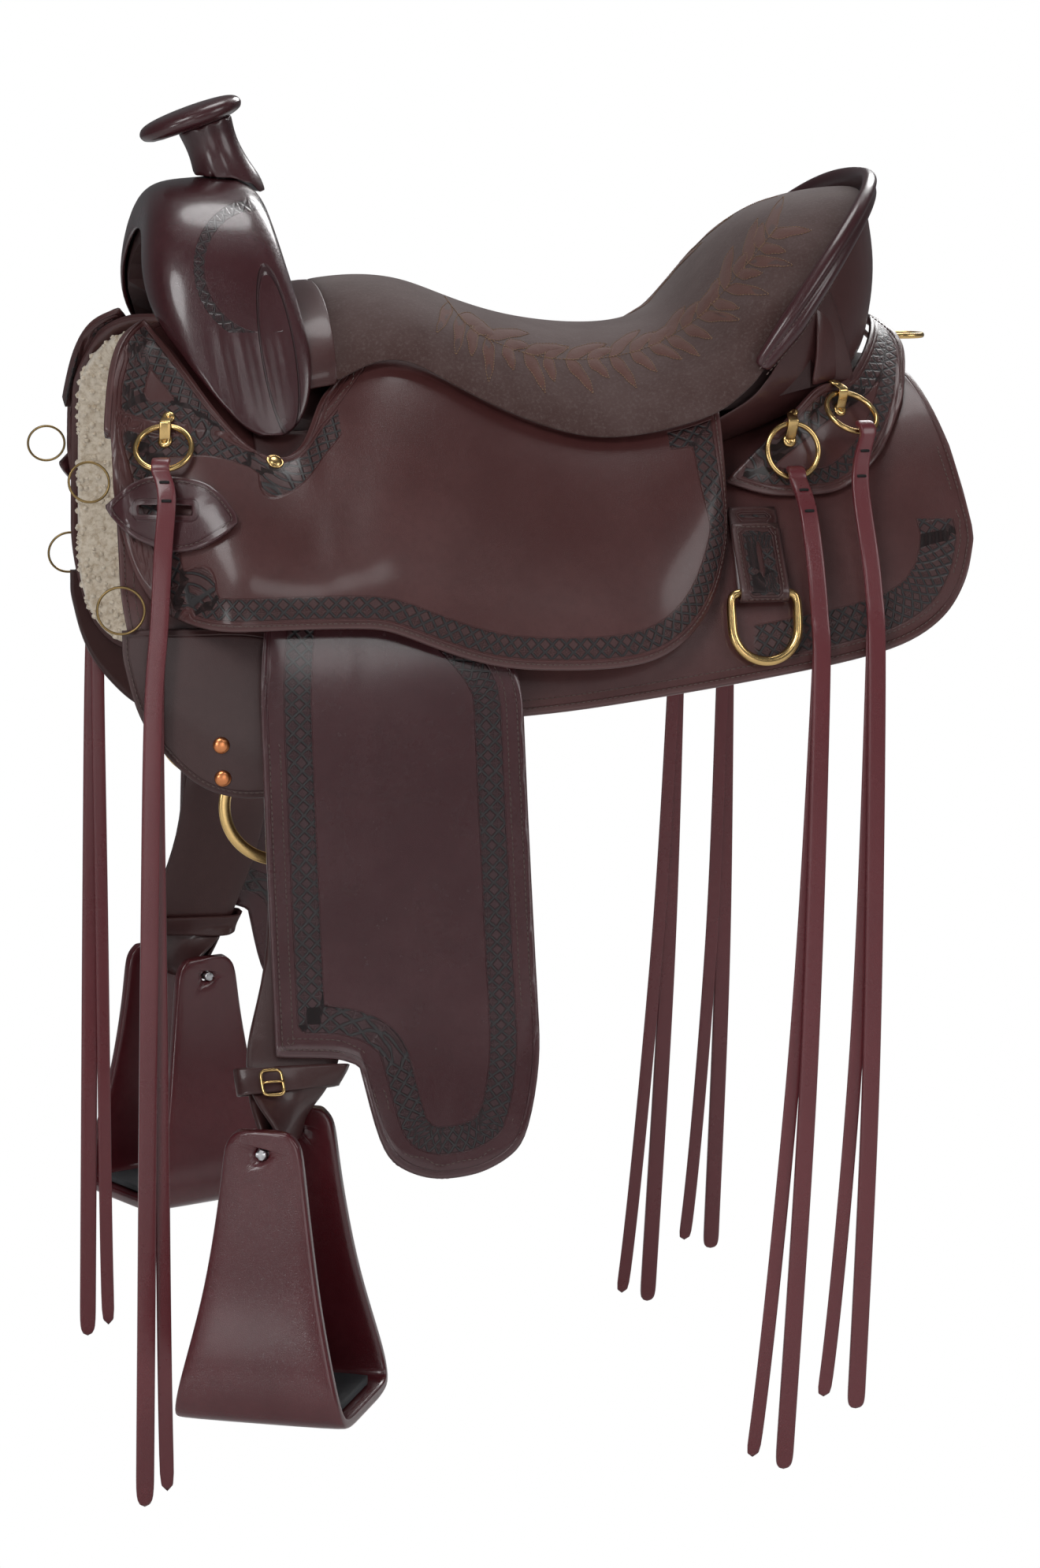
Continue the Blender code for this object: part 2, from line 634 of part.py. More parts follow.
def seat_point(s, f, depth):
    """A point depth below the top of the seat, square to it."""
    nudge = 0.004
    s_low, s_high = max(s - nudge, 0.0), min(s + nudge, 1.0)
    along = seat_skin(s_high, f) - seat_skin(s_low, f)
    across = seat_skin(s, f + nudge) - seat_skin(s, f - nudge)
    return seat_skin(s, f) - along.cross(across).normalized() * depth


def pad_thickness(f):
    return blend(SEAT_PAD, SEAT_EDGE, step_between(0.30, 0.85, abs(f)))


def seat_pad():
    def top(u, v):
        return seat_skin(u, blend(-1, 1, v))

    def under(u, v):
        f = blend(-1, 1, v)
        return seat_point(u, f, pad_thickness(f))

    return slab("seat_pad", 18, 11, top, under, SUEDE)


def seat_under(s, f):
    return seat_point(s, f, pad_thickness(f) + SEAT_GAP)


def ground_seat():
    def top(u, v):
        return seat_under(blend(0.02, CANTLE_START - 0.005, u), GROUND_SEAT_SPREAD * blend(-1, 1, v))

    def under(u, v):
        point = top(u, v)
        return Vector((point.x, point.y, tree_top(point.x, point.y) + FACET_GAP))

    return slab("ground_seat", 10, 7, top, under, WOOD)


def cantle_foot(x, y, f):
    """The height of the cantle's lower edge."""
    lift = CANTLE_SIDE_LIFT * step_between(GROUND_SEAT_SPREAD, CANTLE_SPREAD, abs(f))
    return tree_top(x, y) + FACET_GAP + lift


def tree_cantle():
    def top(u, v):
        return seat_under(blend(CANTLE_START, 1.0, u), CANTLE_SPREAD * blend(-1, 1, v))

    def under(u, v):
        point = top(u, v)
        f = CANTLE_SPREAD * blend(-1, 1, v)
        return Vector((point.x, point.y, min(cantle_foot(point.x, point.y, f), point.z - 0.004)))

    return slab("tree_cantle", 7, 12, top, under, WOOD)


def rim_out(f):
    """The direction straight out from the rim, seen from above."""
    run = seat_skin(1.0, f + 0.01) - seat_skin(1.0, f - 0.01)
    return Vector((run.y, -run.x, 0.0)).normalized()


def cantle_back():
    def skin(u, v):
        f = CANTLE_SPREAD * blend(-1, 1, u)
        rim = seat_under(1.0, f)
        foot = cantle_foot(rim.x, rim.y, f) + CANTLE_BACK_INSET
        fullness = CANTLE_FULLNESS * math.sin(math.pi * v)
        level = Vector((rim.x, rim.y, blend(foot, rim.z - CANTLE_BACK_INSET, v)))
        return level + rim_out(f) * (GAP + fullness)

    return sheet("cantle_back", 12, 3, skin, -1, CANTLE_LEATHER, LEATHER_DARK, offset=1.0)


def cantle_binding():
    points = []
    for k in range(25):
        f = blend(-0.97, 0.97, k / 24)
        points.append(seat_point(1.0, f, -BINDING_RADIUS - FACET_GAP) + rim_out(f) * BINDING_OUT)
    return bent_wire("cantle_binding", points, BINDING_RADIUS, LEATHER_DARK, False)


# Skirts and jockeys

def skirt_spot(u, v, inset):
    x = SKIRT_COLUMNS[round(u * (len(SKIRT_COLUMNS) - 1))]
    x *= 1 - inset / SKIRT_COLUMNS[-1]
    low = drape_angle(x, SKIRT_LOW_LINE(x) + inset)
    top = drape_angle(x, SKIRT_TOP_LINE(x)) + inset / DRAPE_HALF_WIDTH
    return x, blend(low, max(top, 0.10), v)


def skirt(name, side):
    def skin(u, v):
        x, angle = skirt_spot(u, v, 0.0)
        return drape(x, angle, 0.0, side)

    return sheet(name, len(SKIRT_COLUMNS) - 1, 7, skin, side, SKIRT_THICKNESS, LEATHER)


def fleece_lining(name, side):
    def skin(u, v):
        x, angle = skirt_spot(u, v, FLEECE_INSET)
        return drape(x, angle, -SKIRT_THICKNESS - FLEECE_GAP, side)

    return sheet(name, len(SKIRT_COLUMNS) - 1, 7, skin, side, FLEECE_THICKNESS, FLEECE)


SEAT_EDGE_Y = smooth_line([(edge_x, edge_y) for _x, _z, edge_x, edge_y, _edge_z in SEAT])
SEAT_EDGE_Z = smooth_line([(edge_x, edge_z) for _x, _z, edge_x, _edge_y, edge_z in SEAT])


def jockey_top(x):
    """Height and half breadth where the seat jockey's belly starts, and how far it tucks up."""
    swell_end, seat_start = JOCKEY_TOP[-1][0], SEAT[0][2]
    share = step_between(swell_end, seat_start, x)
    flush = JOCKEY_TOP_LINE(x)
    raised = blend(JOCKEY_FLUSH, JOCKEY_OVER_BAR, step_between(-0.318, -0.265, x))
    raised += JOCKEY_HEEL * step_between(JOCKEY_TOP[-2][0], swell_end, x)
    free = (flush, drape_y(x, flush) + raised)
    tucked = (SEAT_EDGE_Z(x) - 2 * FACET_GAP, SEAT_EDGE_Y(x) - JOCKEY_TUCK_IN)
    tuck = JOCKEY_TUCK * step_between(seat_start, seat_start + 0.02, x) * (1 - step_between(0.09, 0.12, x))
    return blend(free[0], tucked[0], share), blend(free[1], tucked[1], share), tuck


def jockey_y(x, z):
    """Half breadth of the seat jockey's outer face."""
    top_z, top_y, _tuck = jockey_top(x)
    if z >= top_z:
        return top_y
    low_z = JOCKEY_LOW_LINE(x)
    fall = min((top_z - z) / (top_z - low_z), 1.0)
    near = step_between(-0.300, -0.235, x) * (1 - step_between(0.060, JOCKEY_REAR_X, x))
    lying = drape_y(x, low_z) + JOCKEY_EDGE_GAP
    belly = blend(lying, JOCKEY_BELLY, near)
    return blend(top_y, belly, math.sin(math.pi / 2 * fall) ** JOCKEY_BULGE)


def seat_jockey(name, side):
    def skin(u, v):
        x = JOCKEY_COLUMNS[round(u * (len(JOCKEY_COLUMNS) - 1))]
        top_z, _y, tuck = jockey_top(x)
        low_z = JOCKEY_LOW_LINE(x)
        fall = 1 - min(v / (1 - JOCKEY_TUCK_ROWS), 1.0)
        raised = max(v - 1 + JOCKEY_TUCK_ROWS, 0.0) / JOCKEY_TUCK_ROWS
        z = top_z - (top_z - low_z) * fall ** 1.3 + max(tuck, JOCKEY_LEAST_TUCK) * raised
        return Vector((x, side * jockey_y(x, z), z))

    return sheet(name, len(JOCKEY_COLUMNS) - 1, 8, skin, side, JOCKEY_THICKNESS, LEATHER)


def rear_jockey_skin(u, v):
    """From the lower edge on the skirt, v = 0, up to the cantle's foot, on the right side."""
    f = CANTLE_SPREAD * blend(1.0, 0.10, u)
    rim = seat_under(1.0, f)
    foot_z = cantle_foot(rim.x, rim.y, f)
    out = rim_out(f)
    top = Vector((rim.x, rim.y, foot_z)) + out * (CANTLE_LEATHER + 0.004)
    low_x = blend(REAR_JOCKEY_LOW[0][0], REAR_JOCKEY_LOW[-1][0], u)
    low_z = REAR_JOCKEY_LINE(low_x)
    low = drape(low_x, drape_angle(low_x, low_z), REAR_JOCKEY_THICKNESS + FACET_GAP, 1)
    swell = 0.008 * math.sin(math.pi * v)
    return top.lerp(low, 1 - v) + Vector((out.x, out.y, 0.5)).normalized() * swell


def rear_jockey(name, side):
    def skin(u, v):
        point = rear_jockey_skin(u, v)
        return Vector((point.x, side * point.y, point.z))

    return sheet(name, 12, 4, skin, side, REAR_JOCKEY_THICKNESS, LEATHER)


# Rigging

def rigging_plate(name, side):
    def skin(u, v):
        x = blend(PLATE_LOW[0][0], PLATE_LOW[-1][0], spread_ends(u))
        top_z = PLATE_TOP_Z - PLATE_REAR_DROP * step_between(-0.235, PLATE_LOW[-1][0], x)
        z = blend(PLATE_LINE(x), top_z, v)
        return drape(x, drape_angle(x, z), PLATE_THICKNESS + FACET_GAP, side)

    return sheet(name, 12, 4, skin, side, PLATE_THICKNESS, LEATHER_DARK)


def cinch_dee(name, side):
    """A flat brass ring whose upper part lies behind the rigging plate."""
    reach = DEE_RADIUS + DEE_BAND / 2
    depth = drape_y(DEE_CENTRE_X - reach, DEE_CENTRE_Z) - DEE_THICKNESS / 2 - GAP
    centre = Vector((DEE_CENTRE_X, side * depth, DEE_CENTRE_Z))
    rings = []
    for k in range(22):
        turn = 2 * math.pi * k / 22
        out = Vector((math.cos(turn), 0.0, math.sin(turn)))
        near, far = out * (DEE_RADIUS - DEE_BAND / 2), out * (DEE_RADIUS + DEE_BAND / 2)
        thick = Vector((0.0, DEE_THICKNESS / 2, 0.0))
        rings.append([centre + near - thick, centre + far - thick, centre + far + thick, centre + near + thick])
    return place(name, mesh_from(loft(rings, closed=True), name), BRASS)


def latigo_keeper(name, side):
    def skin(u, v):
        x = blend(KEEPER_LOW[0][0], KEEPER_LOW[-1][0], spread_ends(u))
        z = blend(KEEPER_LOW_LINE(x), KEEPER_TOP_LINE(x), v)
        return Vector((x, side * (jockey_y(max(x, JOCKEY_FRONT_X), z) + KEEPER_GAP + KEEPER_THICKNESS), z))

    keeper = sheet(name, 8, 5, skin, side, KEEPER_THICKNESS, LEATHER_DARK)
    x, z = KEEPER_SLOT_CENTRE
    bpy.ops.mesh.primitive_cube_add(size=1, location=(x, side * jockey_y(x, z), z))
    slot = bpy.context.object
    slot.name = name + "_slot"
    slot.data.transform(Matrix.Diagonal((KEEPER_SLOT[0], 0.06, KEEPER_SLOT[1], 1.0)))
    bpy.context.collection.objects.unlink(slot)
    PARTS.objects.link(slot)
    cut(keeper, as_cutter(slot))
    return keeper


def rear_billet(name, side):
    """A strap down the skirt, round the dee's bar and back up over itself."""
    def on_skirt(z, off):
        return drape(BILLET_X, drape_angle(BILLET_X, z), off, side)

    lower = BILLET_THICKNESS / 2 + FACET_GAP
    bar = on_skirt(REAR_DEE_BAR_Z, dee_standoff())
    out = (on_skirt(REAR_DEE_BAR_Z, 0.05) - on_skirt(REAR_DEE_BAR_Z, 0.0)).normalized()
    down = out.cross(Vector((1.0, 0.0, 0.0)))
    down = down if down.z < 0 else -down
    turn_radius = REAR_DEE_WIRE + GAP * 2 + BILLET_THICKNESS / 2
    points = [on_skirt(z, lower) for z in (BILLET_TOP_Z, -0.080, -0.100, -0.118)]
    for k in range(7):
        turn = math.pi * k / 6
        points.append(bar + (-out * math.cos(turn) + down * math.sin(turn)) * turn_radius)
    points += [on_skirt(z, off) for z, off in ((-0.118, 0.0115), (-0.100, 0.0070), (-0.080, 0.0058))]
    stations = flat_strap(points, Vector((BILLET_WIDTH / 2, 0.0, 0.0)), BILLET_THICKNESS)
    return place(name, mesh_from(loft(strap_rings(stations)), name), LEATHER)


def dee_standoff():
    """How far the rear dee's bar stands off the skirt."""
    return BILLET_THICKNESS + FACET_GAP + REAR_DEE_WIRE + 2 * GAP


def rear_dee(name, side):
    bar = drape(BILLET_X, drape_angle(BILLET_X, REAR_DEE_BAR_Z), dee_standoff(), side)
    half = REAR_DEE_WIDTH / 2
    points = [Vector((-half, 0, 0)), Vector((-half / 2, 0, 0)), Vector((half / 2, 0, 0)), Vector((half, 0, 0)),
              Vector((half, 0, -0.012))]
    for k in range(13):
        turn = math.pi * k / 12
        points.append(Vector((half * math.cos(turn), 0, half - REAR_DEE_DROP - half * math.sin(turn))))
    points.append(Vector((-half, 0, -0.012)))
    lean = Matrix.Rotation(side * REAR_DEE_LEAN, 3, "X")
    made = bent_wire(name, [lean @ point for point in points], REAR_DEE_WIRE, BRASS, True)
    made.location = bar
    return made


# Rings

def rear_jockey_y(x, z):
    """Half breadth of the rear jockey's face at (x, z), found by stepping over it; below it, the skirt's."""
    u, v, nudge = 0.5, 0.5, 0.01
    for _step in range(8):
        here = rear_jockey_skin(u, v)
        along = (rear_jockey_skin(u + nudge, v) - here) / nudge
        upward = (rear_jockey_skin(u, v + nudge) - here) / nudge
        miss_x, miss_z = x - here.x, z - here.z
        scale = along.x * upward.z - along.z * upward.x
        u = min(max(u + (miss_x * upward.z - miss_z * upward.x) / scale, 0.0), 1.0)
        v = min(max(v + (along.x * miss_z - along.z * miss_x) / scale, 0.0), 1.0)
    return max(rear_jockey_skin(u, v).y, drape_y(x, z))


def front_jockey_y(x, z):
    """Half breadth of the seat jockey with the keeper on it."""
    over_keeper = step_between(-0.006, 0.0, KEEPER_TOP_LINE(x) - z)
    return jockey_y(x, z) + over_keeper * (KEEPER_THICKNESS + KEEPER_GAP)


def plated_y(x, z):
    """Half breadth of the skirt with the rigging plate on it."""
    return drape_y(x, z) + step_between(-0.006, 0.0, PLATE_TOP_Z - z) * (PLATE_THICKNESS + FACET_GAP)


def ring_lie(spot, radius, wire, surface_y, least_lean):
    """How a ring that hangs from a spot lies on the leather: its lean out, and its turn across."""
    x, z = spot
    slope = (surface_y(x + radius, z - radius) - surface_y(x - radius, z - radius)) / (2 * radius)
    top_y = surface_y(x, z) + wire + RING_STANDOFF
    lean = least_lean
    for _pass in range(4):
        needed = [least_lean]
        for k in range(-8, 9):
            turn = math.pi * k / 8
            across = radius * math.sin(turn)
            drop = radius * (1 - math.cos(turn))
            if drop > 0.2 * radius:
                y = surface_y(x + across, z - drop * math.cos(lean)) + wire + FACET_GAP - slope * across
                needed.append(math.asin(min(max((y - top_y) / drop, 0.0), 0.95)))
        lean = max(needed)
    return lean, slope


def hanging_ring(name, spot, radius, wire, surface_y, side, sides, least_lean=0.0):
    """A ring that hangs from its top, on the leather at spot; returns its bottom and its hinge's line."""
    x, z = spot
    lean, slope = ring_lie(spot, radius, wire, surface_y, least_lean)
    top = Vector((x, side * (surface_y(x, z) + wire + RING_STANDOFF), z))
    line = Vector((1.0, side * slope, 0.0)).normalized()
    out = Vector((-line.y, line.x, 0.0)) * side
    down = out * math.sin(lean) - Vector((0.0, 0.0, math.cos(lean)))
    made = ring(name, top + down * radius, radius, wire, line.cross(down), BRASS, 16, sides)
    pivot(made, top)
    return top + down * 2 * radius, line


def crupper_dee():
    made = ring("crupper_dee", Vector((CRUPPER_X + CRUPPER_RADIUS, 0.0, CRUPPER_Z)), CRUPPER_RADIUS,
                CRUPPER_WIRE, Vector((0.0, 0.0, 1.0)), BRASS)
    pivot(made, Vector((CRUPPER_X, 0.0, CRUPPER_Z)))
    return made


def crupper_strap():
    """A folded strap under the cantle's foot, with the crupper dee in its loop."""
    def under_cantle(x, layer):
        top = tree_top(x, 0.0) + GAP
        return Vector((x, 0.0, top - CRUPPER_STRAP_THICKNESS * (layer + 0.5) - GAP * layer))

    bend = CRUPPER_WIRE + CRUPPER_PLAY + CRUPPER_STRAP_THICKNESS / 2
    points = [under_cantle(x, 0) for x in (0.268, 0.284, 0.299)]
    for k in range(7):
        turn = math.radians(55 - 30 * k)
        points.append(Vector((CRUPPER_X + bend * math.cos(turn), 0.0, CRUPPER_Z + bend * math.sin(turn))))
    points += [under_cantle(0.298, 1.4), under_cantle(0.284, 1)]
    stations = flat_strap(points, Vector((0.0, CRUPPER_STRAP_WIDTH / 2, 0.0)), CRUPPER_STRAP_THICKNESS)
    return place("crupper_strap", mesh_from(loft(strap_rings(stations)), "crupper_strap"), LEATHER)


# Fender, leather and stirrup

def hang_slope(z):
    nudge = 0.004
    return (HANG_Y_LINE(z + nudge) - HANG_Y_LINE(z - nudge)) / (2 * nudge)


def hang_out(z, off):
    """Half breadth of a layer that lies off outside the hanging line, square to it."""
    return HANG_Y_LINE(z) + off * math.sqrt(1 + hang_slope(z) ** 2)


def hang_frame(z, side):
    """Middle, width direction and outward direction of the hanging leathers at height z."""
    mid = Vector((HANG_X_LINE(z), side * HANG_Y_LINE(z), z))
    turn = TWIST * step_between(0.0, TWIST_START_Z - TWIST_END_Z, TWIST_START_Z - z)
    run = Vector((0.0, side * hang_slope(z), 1.0)).normalized()
    wide = Vector((-math.cos(turn), side * math.sin(turn), 0.0))
    return mid, wide, run.cross(wide).normalized() * -side


def leather_half_width(z):
    return blend(LEATHER_WIDTH, LEATHER_LOW_WIDTH, step_between(0.440, 0.490, -z)) / 2


def leather_shift(z):
    """How far each run of the folded leather lies from the middle line."""
    apart = LEATHER_THICKNESS / 2 + GAP
    doubled = step_between(-LEATHER_END_Z - 0.030, -LEATHER_END_Z, -z)
    return blend(apart * doubled, bolt_bend(), step_between(-TWIST_START_Z, -BOLT_Z - 0.008, -z))


def bolt_bend():
    return BOLT_RADIUS + 2 * GAP + LEATHER_THICKNESS / 2


def stirrup_leather(name, side):
    """Down from the bar, round the stirrup's bolt and back up the inner side."""
    heights = [LEATHER_TOP_Z, -0.006, -0.014, -0.026, -0.045, -0.075, -0.110, -0.150, -0.200, -0.260,
               LEATHER_END_Z, -0.390, -0.440, -0.462, -0.470, -0.478, -0.486, -0.494, -0.502, -0.508]

    def station(z, way):
        mid, wide, out = hang_frame(z, side)
        return (mid + out * leather_shift(z) * way, wide * leather_half_width(z),
                out * way * LEATHER_THICKNESS / 2)

    stations = [station(z, 1) for z in heights]
    middle, wide, _out = hang_frame(BOLT_Z, side)
    out = Vector((0.0, 0.0, 1.0)).cross(wide) * -side
    for k in range(6):
        turn = math.pi * k / 5
        spoke = out * math.cos(turn) - Vector((0.0, 0.0, math.sin(turn)))
        stations.append((middle + spoke * bolt_bend(), wide * LEATHER_LOW_WIDTH / 2,
                         spoke * LEATHER_THICKNESS / 2))
    stations += [station(z, -1) for z in reversed(heights) if z <= LEATHER_END_Z]
    return place(name, mesh_from(loft(strap_rings(stations, 4)), name), LEATHER_DARK)


def fender(name, side):
    def skin(u, v):
        x = blend(FENDER_LOW[0][0], FENDER_LOW[-1][0], u)
        z = blend(FENDER_LOW_LINE(x), FENDER_TOP_LINE(x), v)
        off = LEATHER_THICKNESS + 2 * FACET_GAP + GAP + FENDER_THICKNESS
        return Vector((x, side * hang_out(z, off), z))

    return sheet(name, 16, 8, skin, side, FENDER_THICKNESS, LEATHER_DARK)


def stadium(half_long, half_wide):
    """Points round a slot shape, from the end of one straight side."""
    turns = [math.radians(45 * k) for k in range(1, 4)]
    half = [(half_long * (1 - k / 2), half_wide) for k in range(5)]
    half += [(-half_long - half_wide * math.sin(turn), half_wide * math.cos(turn)) for turn in turns]
    return half + [(-a, -b) for a, b in half]


def hobble_strap(name, side):
    """A closed band that holds both runs of the leather together above the stirrup."""
    levels = [HOBBLE_TOP_Z - HOBBLE_HEIGHT * k / 2 for k in range(3)]

    def round_leather(z, off):
        mid, wide, out = hang_frame(z, side)
        half_long = leather_half_width(z) + FACET_GAP
        half_wide = leather_shift(z) + LEATHER_THICKNESS / 2 + FACET_GAP + off
        return [mid + wide * a + out * b for a, b in stadium(half_long, half_wide)]

    loops = [round_leather(z, 0.0) for z in levels] + [round_leather(z, HOBBLE_THICKNESS) for z in reversed(levels)]
    return place(name, mesh_from(loft(list(zip(*loops)), closed=True), name), LEATHER)


def stirrup_frame(side):
    """The stirrup's own frame at its bolt: local X across it, outwards, and local Y through it."""
    middle, wide, _out = hang_frame(BOLT_Z, side)
    through_it = Vector((0.0, 0.0, 1.0)).cross(wide)
    frame = Matrix((wide, through_it, Vector((0.0, 0.0, 1.0)))).transposed().to_4x4()
    return Matrix.Translation(middle) @ frame


def stirrup(name, side):
    frame = stirrup_frame(side)
    path = STIRRUP_BAND + [(0.0, STIRRUP_BAND[-1][1], STIRRUP_BAND[-1][2])]
    path += [(-w, drop, half) for w, drop, half in reversed(STIRRUP_BAND)]
    rings = []
    for k, (w, drop, half) in enumerate(path):
        before, after = path[max(k - 1, 0)], path[min(k + 1, len(path) - 1)]
        run = Vector((after[0] - before[0], 0.0, before[1] - after[1])).normalized()
        inward = Vector((run.z, 0.0, -run.x))
        mid = Vector((w, 0.0, -drop))
        soft, flat = half - STIRRUP_ROUND, 0.5 - STIRRUP_ROUND / STIRRUP_WALL
        outline = [(-half, -flat), (-soft, -0.5), (soft, -0.5), (half, -flat),
                   (half, flat), (soft, 0.5), (-soft, 0.5), (-half, flat)]
        rings.append([frame @ (mid + Vector((0.0, y, 0.0)) + inward * (share * STIRRUP_WALL))
                      for y, share in outline])
    made = place(name, mesh_from(loft(rings), name), LEATHER_DARK)
    cut(made, as_cutter(bolt_rod(name + "_bore", side, BOLT_RADIUS + GAP, 0.08)))
    return made


def bolt_rod(name, side, radius, half_length):
    bpy.ops.mesh.primitive_cylinder_add(vertices=16, radius=radius, depth=2 * half_length)
    rod = bpy.context.object
    mesh = rod.data.copy()
    bpy.data.objects.remove(rod)
    middle, wide, _out = hang_frame(BOLT_Z, side)
    mesh.transform(Matrix.Translation(middle) @ wide.to_track_quat("Z", "Y").to_matrix().to_4x4())
    return place(name, mesh, STEEL)


def stirrup_tread(name, side):
    frame = stirrup_frame(side)
    wide, deep, thick = TREAD_SIZE
    top = -STIRRUP_BAND[-1][1] + STIRRUP_WALL / 2 + 2 * GAP
    bpy.ops.mesh.primitive_cube_add(size=1)
    cube = bpy.context.object
    mesh = cube.data.copy()
    bpy.data.objects.remove(cube)
    mesh.transform(frame @ Matrix.Translation((0.0, 0.0, top + thick / 2)) @ Matrix.Diagonal((wide, deep, thick, 1)))
    return place(name, mesh, TREAD)


def string_bend():
    """The radius of a string's middle line round its ring, whose wire curves across the string."""
    rise = RING_RADIUS - math.sqrt(RING_RADIUS ** 2 - (STRING_WIDTH / 2) ** 2)
    return RING_WIRE + 3 * GAP + rise + STRING_THICKNESS / 2


def saddle_string(name, bottom, line, route, side):
    """A flat string looped over the bottom of its ring, then down along a route."""
    out = Vector((-line.y, line.x, 0.0)) * side
    start = []
    for k in range(6):
        turn = math.radians(80 + 20 * k)
        start.append(bottom + (Vector((0.0, 0.0, math.sin(turn))) - out * math.cos(turn)) * string_bend())
    guide = [start[-1]] + [Vector((x, side * y, z)) for x, y, z in route]
    count = 12
    points = start[:-1] + [Vector(through(guide, k / count)) for k in range(count + 1)]
    stations = []
    for k, point in enumerate(points):
        along = points[min(k + 1, len(points) - 1)] - points[max(k - 1, 0)]
        settle = step_between(0.0, 0.06, bottom.z - point.z)
        wide = line.lerp(Vector((1.0, 0.0, 0.0)), settle) * STRING_WIDTH / 2
        stations.append((point, wide, along.cross(wide).normalized() * STRING_THICKNESS / 2))
    return place(name, mesh_from(loft(strap_rings(stations)), name), LEATHER_RED)


def rings_with_strings(side_name, side):
    for label, spot, surface_y, lean in (("front", FRONT_RING, front_jockey_y, FRONT_RING_LEAN),
                                         ("rear_low", REAR_RING_LOW, rear_jockey_y, 0.0),
                                         ("rear_high", REAR_RING_HIGH, rear_jockey_y, 0.0)):
        bottom, line = hanging_ring(f"{label}_string_ring_{side_name}", spot, RING_RADIUS, RING_WIRE, surface_y,
                                    side, 6, lean)
        lace = saddle_string(f"{label}_string_{side_name}", bottom, line, STRING_ROUTES[label], side)
        pivot(lace, bottom)


def build():
    for item in list(bpy.data.objects):
        bpy.data.objects.remove(item)
    tree_fork()
    swell_cover()
    horn_post()
    horn_neck()
    horn_cap()
    ground_seat()
    tree_cantle()
    seat_pad()
    cantle_back()
    cantle_binding()
    crupper_dee()
    crupper_strap()
    for side_name, side in SIDES.items():
        tree_bar(f"tree_bar_{side_name}", side)
        skirt(f"skirt_{side_name}", side)
        fleece_lining(f"fleece_lining_{side_name}", side)
        seat_jockey(f"seat_jockey_{side_name}", side)
        rear_jockey(f"rear_jockey_{side_name}", side)
        rigging_plate(f"rigging_plate_{side_name}", side)
        cinch_dee(f"cinch_ring_{side_name}", side)
        latigo_keeper(f"latigo_keeper_{side_name}", side)
        rear_billet(f"rear_billet_{side_name}", side)
        rear_dee(f"rear_dee_{side_name}", side)
        for label, (x, z, radius) in BREAST_RINGS.items():
            hanging_ring(f"{label}_breast_ring_{side_name}", (x, z + radius), radius, BREAST_WIRE, plated_y,
                         side, 5)
        rings_with_strings(side_name, side)
        hung = [stirrup_leather(f"stirrup_leather_{side_name}", side), fender(f"fender_{side_name}", side),
                hobble_strap(f"hobble_strap_{side_name}", side)]
        for made in hung:
            pivot(made, Vector((SWING_X, side * HANG_Y_LINE(SWING_Z), SWING_Z)))
        footed = [stirrup(f"stirrup_{side_name}", side), stirrup_tread(f"stirrup_tread_{side_name}", side)]
        footed.append(bolt_rod(f"stirrup_bolt_{side_name}", side, BOLT_RADIUS, BOLT_HALF_LENGTH))
        for made in footed:
            pivot(made, hang_frame(BOLT_Z, side)[0])


build()
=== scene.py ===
"""Trail saddle: leather, fleece, stitching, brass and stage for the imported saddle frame."""

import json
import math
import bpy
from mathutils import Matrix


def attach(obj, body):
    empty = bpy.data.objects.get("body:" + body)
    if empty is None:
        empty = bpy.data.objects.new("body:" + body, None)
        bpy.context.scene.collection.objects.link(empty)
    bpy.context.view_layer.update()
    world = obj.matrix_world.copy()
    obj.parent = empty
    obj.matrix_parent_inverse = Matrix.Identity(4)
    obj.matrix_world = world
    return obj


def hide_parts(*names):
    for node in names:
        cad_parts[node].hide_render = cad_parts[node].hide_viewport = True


bl_info = {
    "name": "Trail Saddle Finish",
    "version": (1, 0, 0),
    "blender": (4, 5, 0),
    "location": "View3D > Sidebar > Saddle",
    "description": "Dresses the saddle's frame with stitched and stamped leather, fleece and brass",
    "category": "Object",
}

import bmesh
import bpy
import numpy as np
from bpy.props import FloatProperty, FloatVectorProperty, IntProperty, PointerProperty
from mathutils import Vector
from mathutils.bvhtree import BVHTree

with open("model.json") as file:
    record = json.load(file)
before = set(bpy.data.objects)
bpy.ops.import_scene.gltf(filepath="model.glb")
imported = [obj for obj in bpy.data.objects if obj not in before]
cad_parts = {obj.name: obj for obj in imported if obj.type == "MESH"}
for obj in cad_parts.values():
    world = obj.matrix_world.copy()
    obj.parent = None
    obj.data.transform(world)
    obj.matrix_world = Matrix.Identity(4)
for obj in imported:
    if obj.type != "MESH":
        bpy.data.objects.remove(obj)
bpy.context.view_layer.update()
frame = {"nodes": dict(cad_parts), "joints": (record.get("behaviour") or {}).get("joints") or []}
SIDES = {"left": -1, "right": 1}
MADE = {}
ROWS = {}
MILLIMETRE = 0.001
PICTURE_WIDE, PICTURE_HIGH = 1320, 1990
SENSOR = 36
ROW_STEP, ROW_LIFT = 0.004, 0.0001
MERGE_GAP = 0.00002
SHORTEST_LOOP, SHORTEST_RUN = 8, 4
TUBE_SIDES, HEAD_SIDES, STRIP_STEPS = 8, 20, 14
QUAD_BEND, QUAD_SKEW, CREASE_BEND = math.radians(50), math.radians(70), math.radians(40)
STRAP_SECTION = ((1, -0.6), (1, 0.6), (0.9, 1), (0, 1), (-0.9, 1), (-1, 0.6), (-1, -0.6), (-0.9, -1), (0, -1),
                 (0.9, -1))


# Settings

def colour(name, text, default):
    return FloatVectorProperty(name=name, description=text, subtype="COLOR", size=3, min=0, max=1, default=default)


def length(name, text, default):
    return FloatProperty(name=name, description=text, unit="LENGTH", default=default, min=0, precision=5)


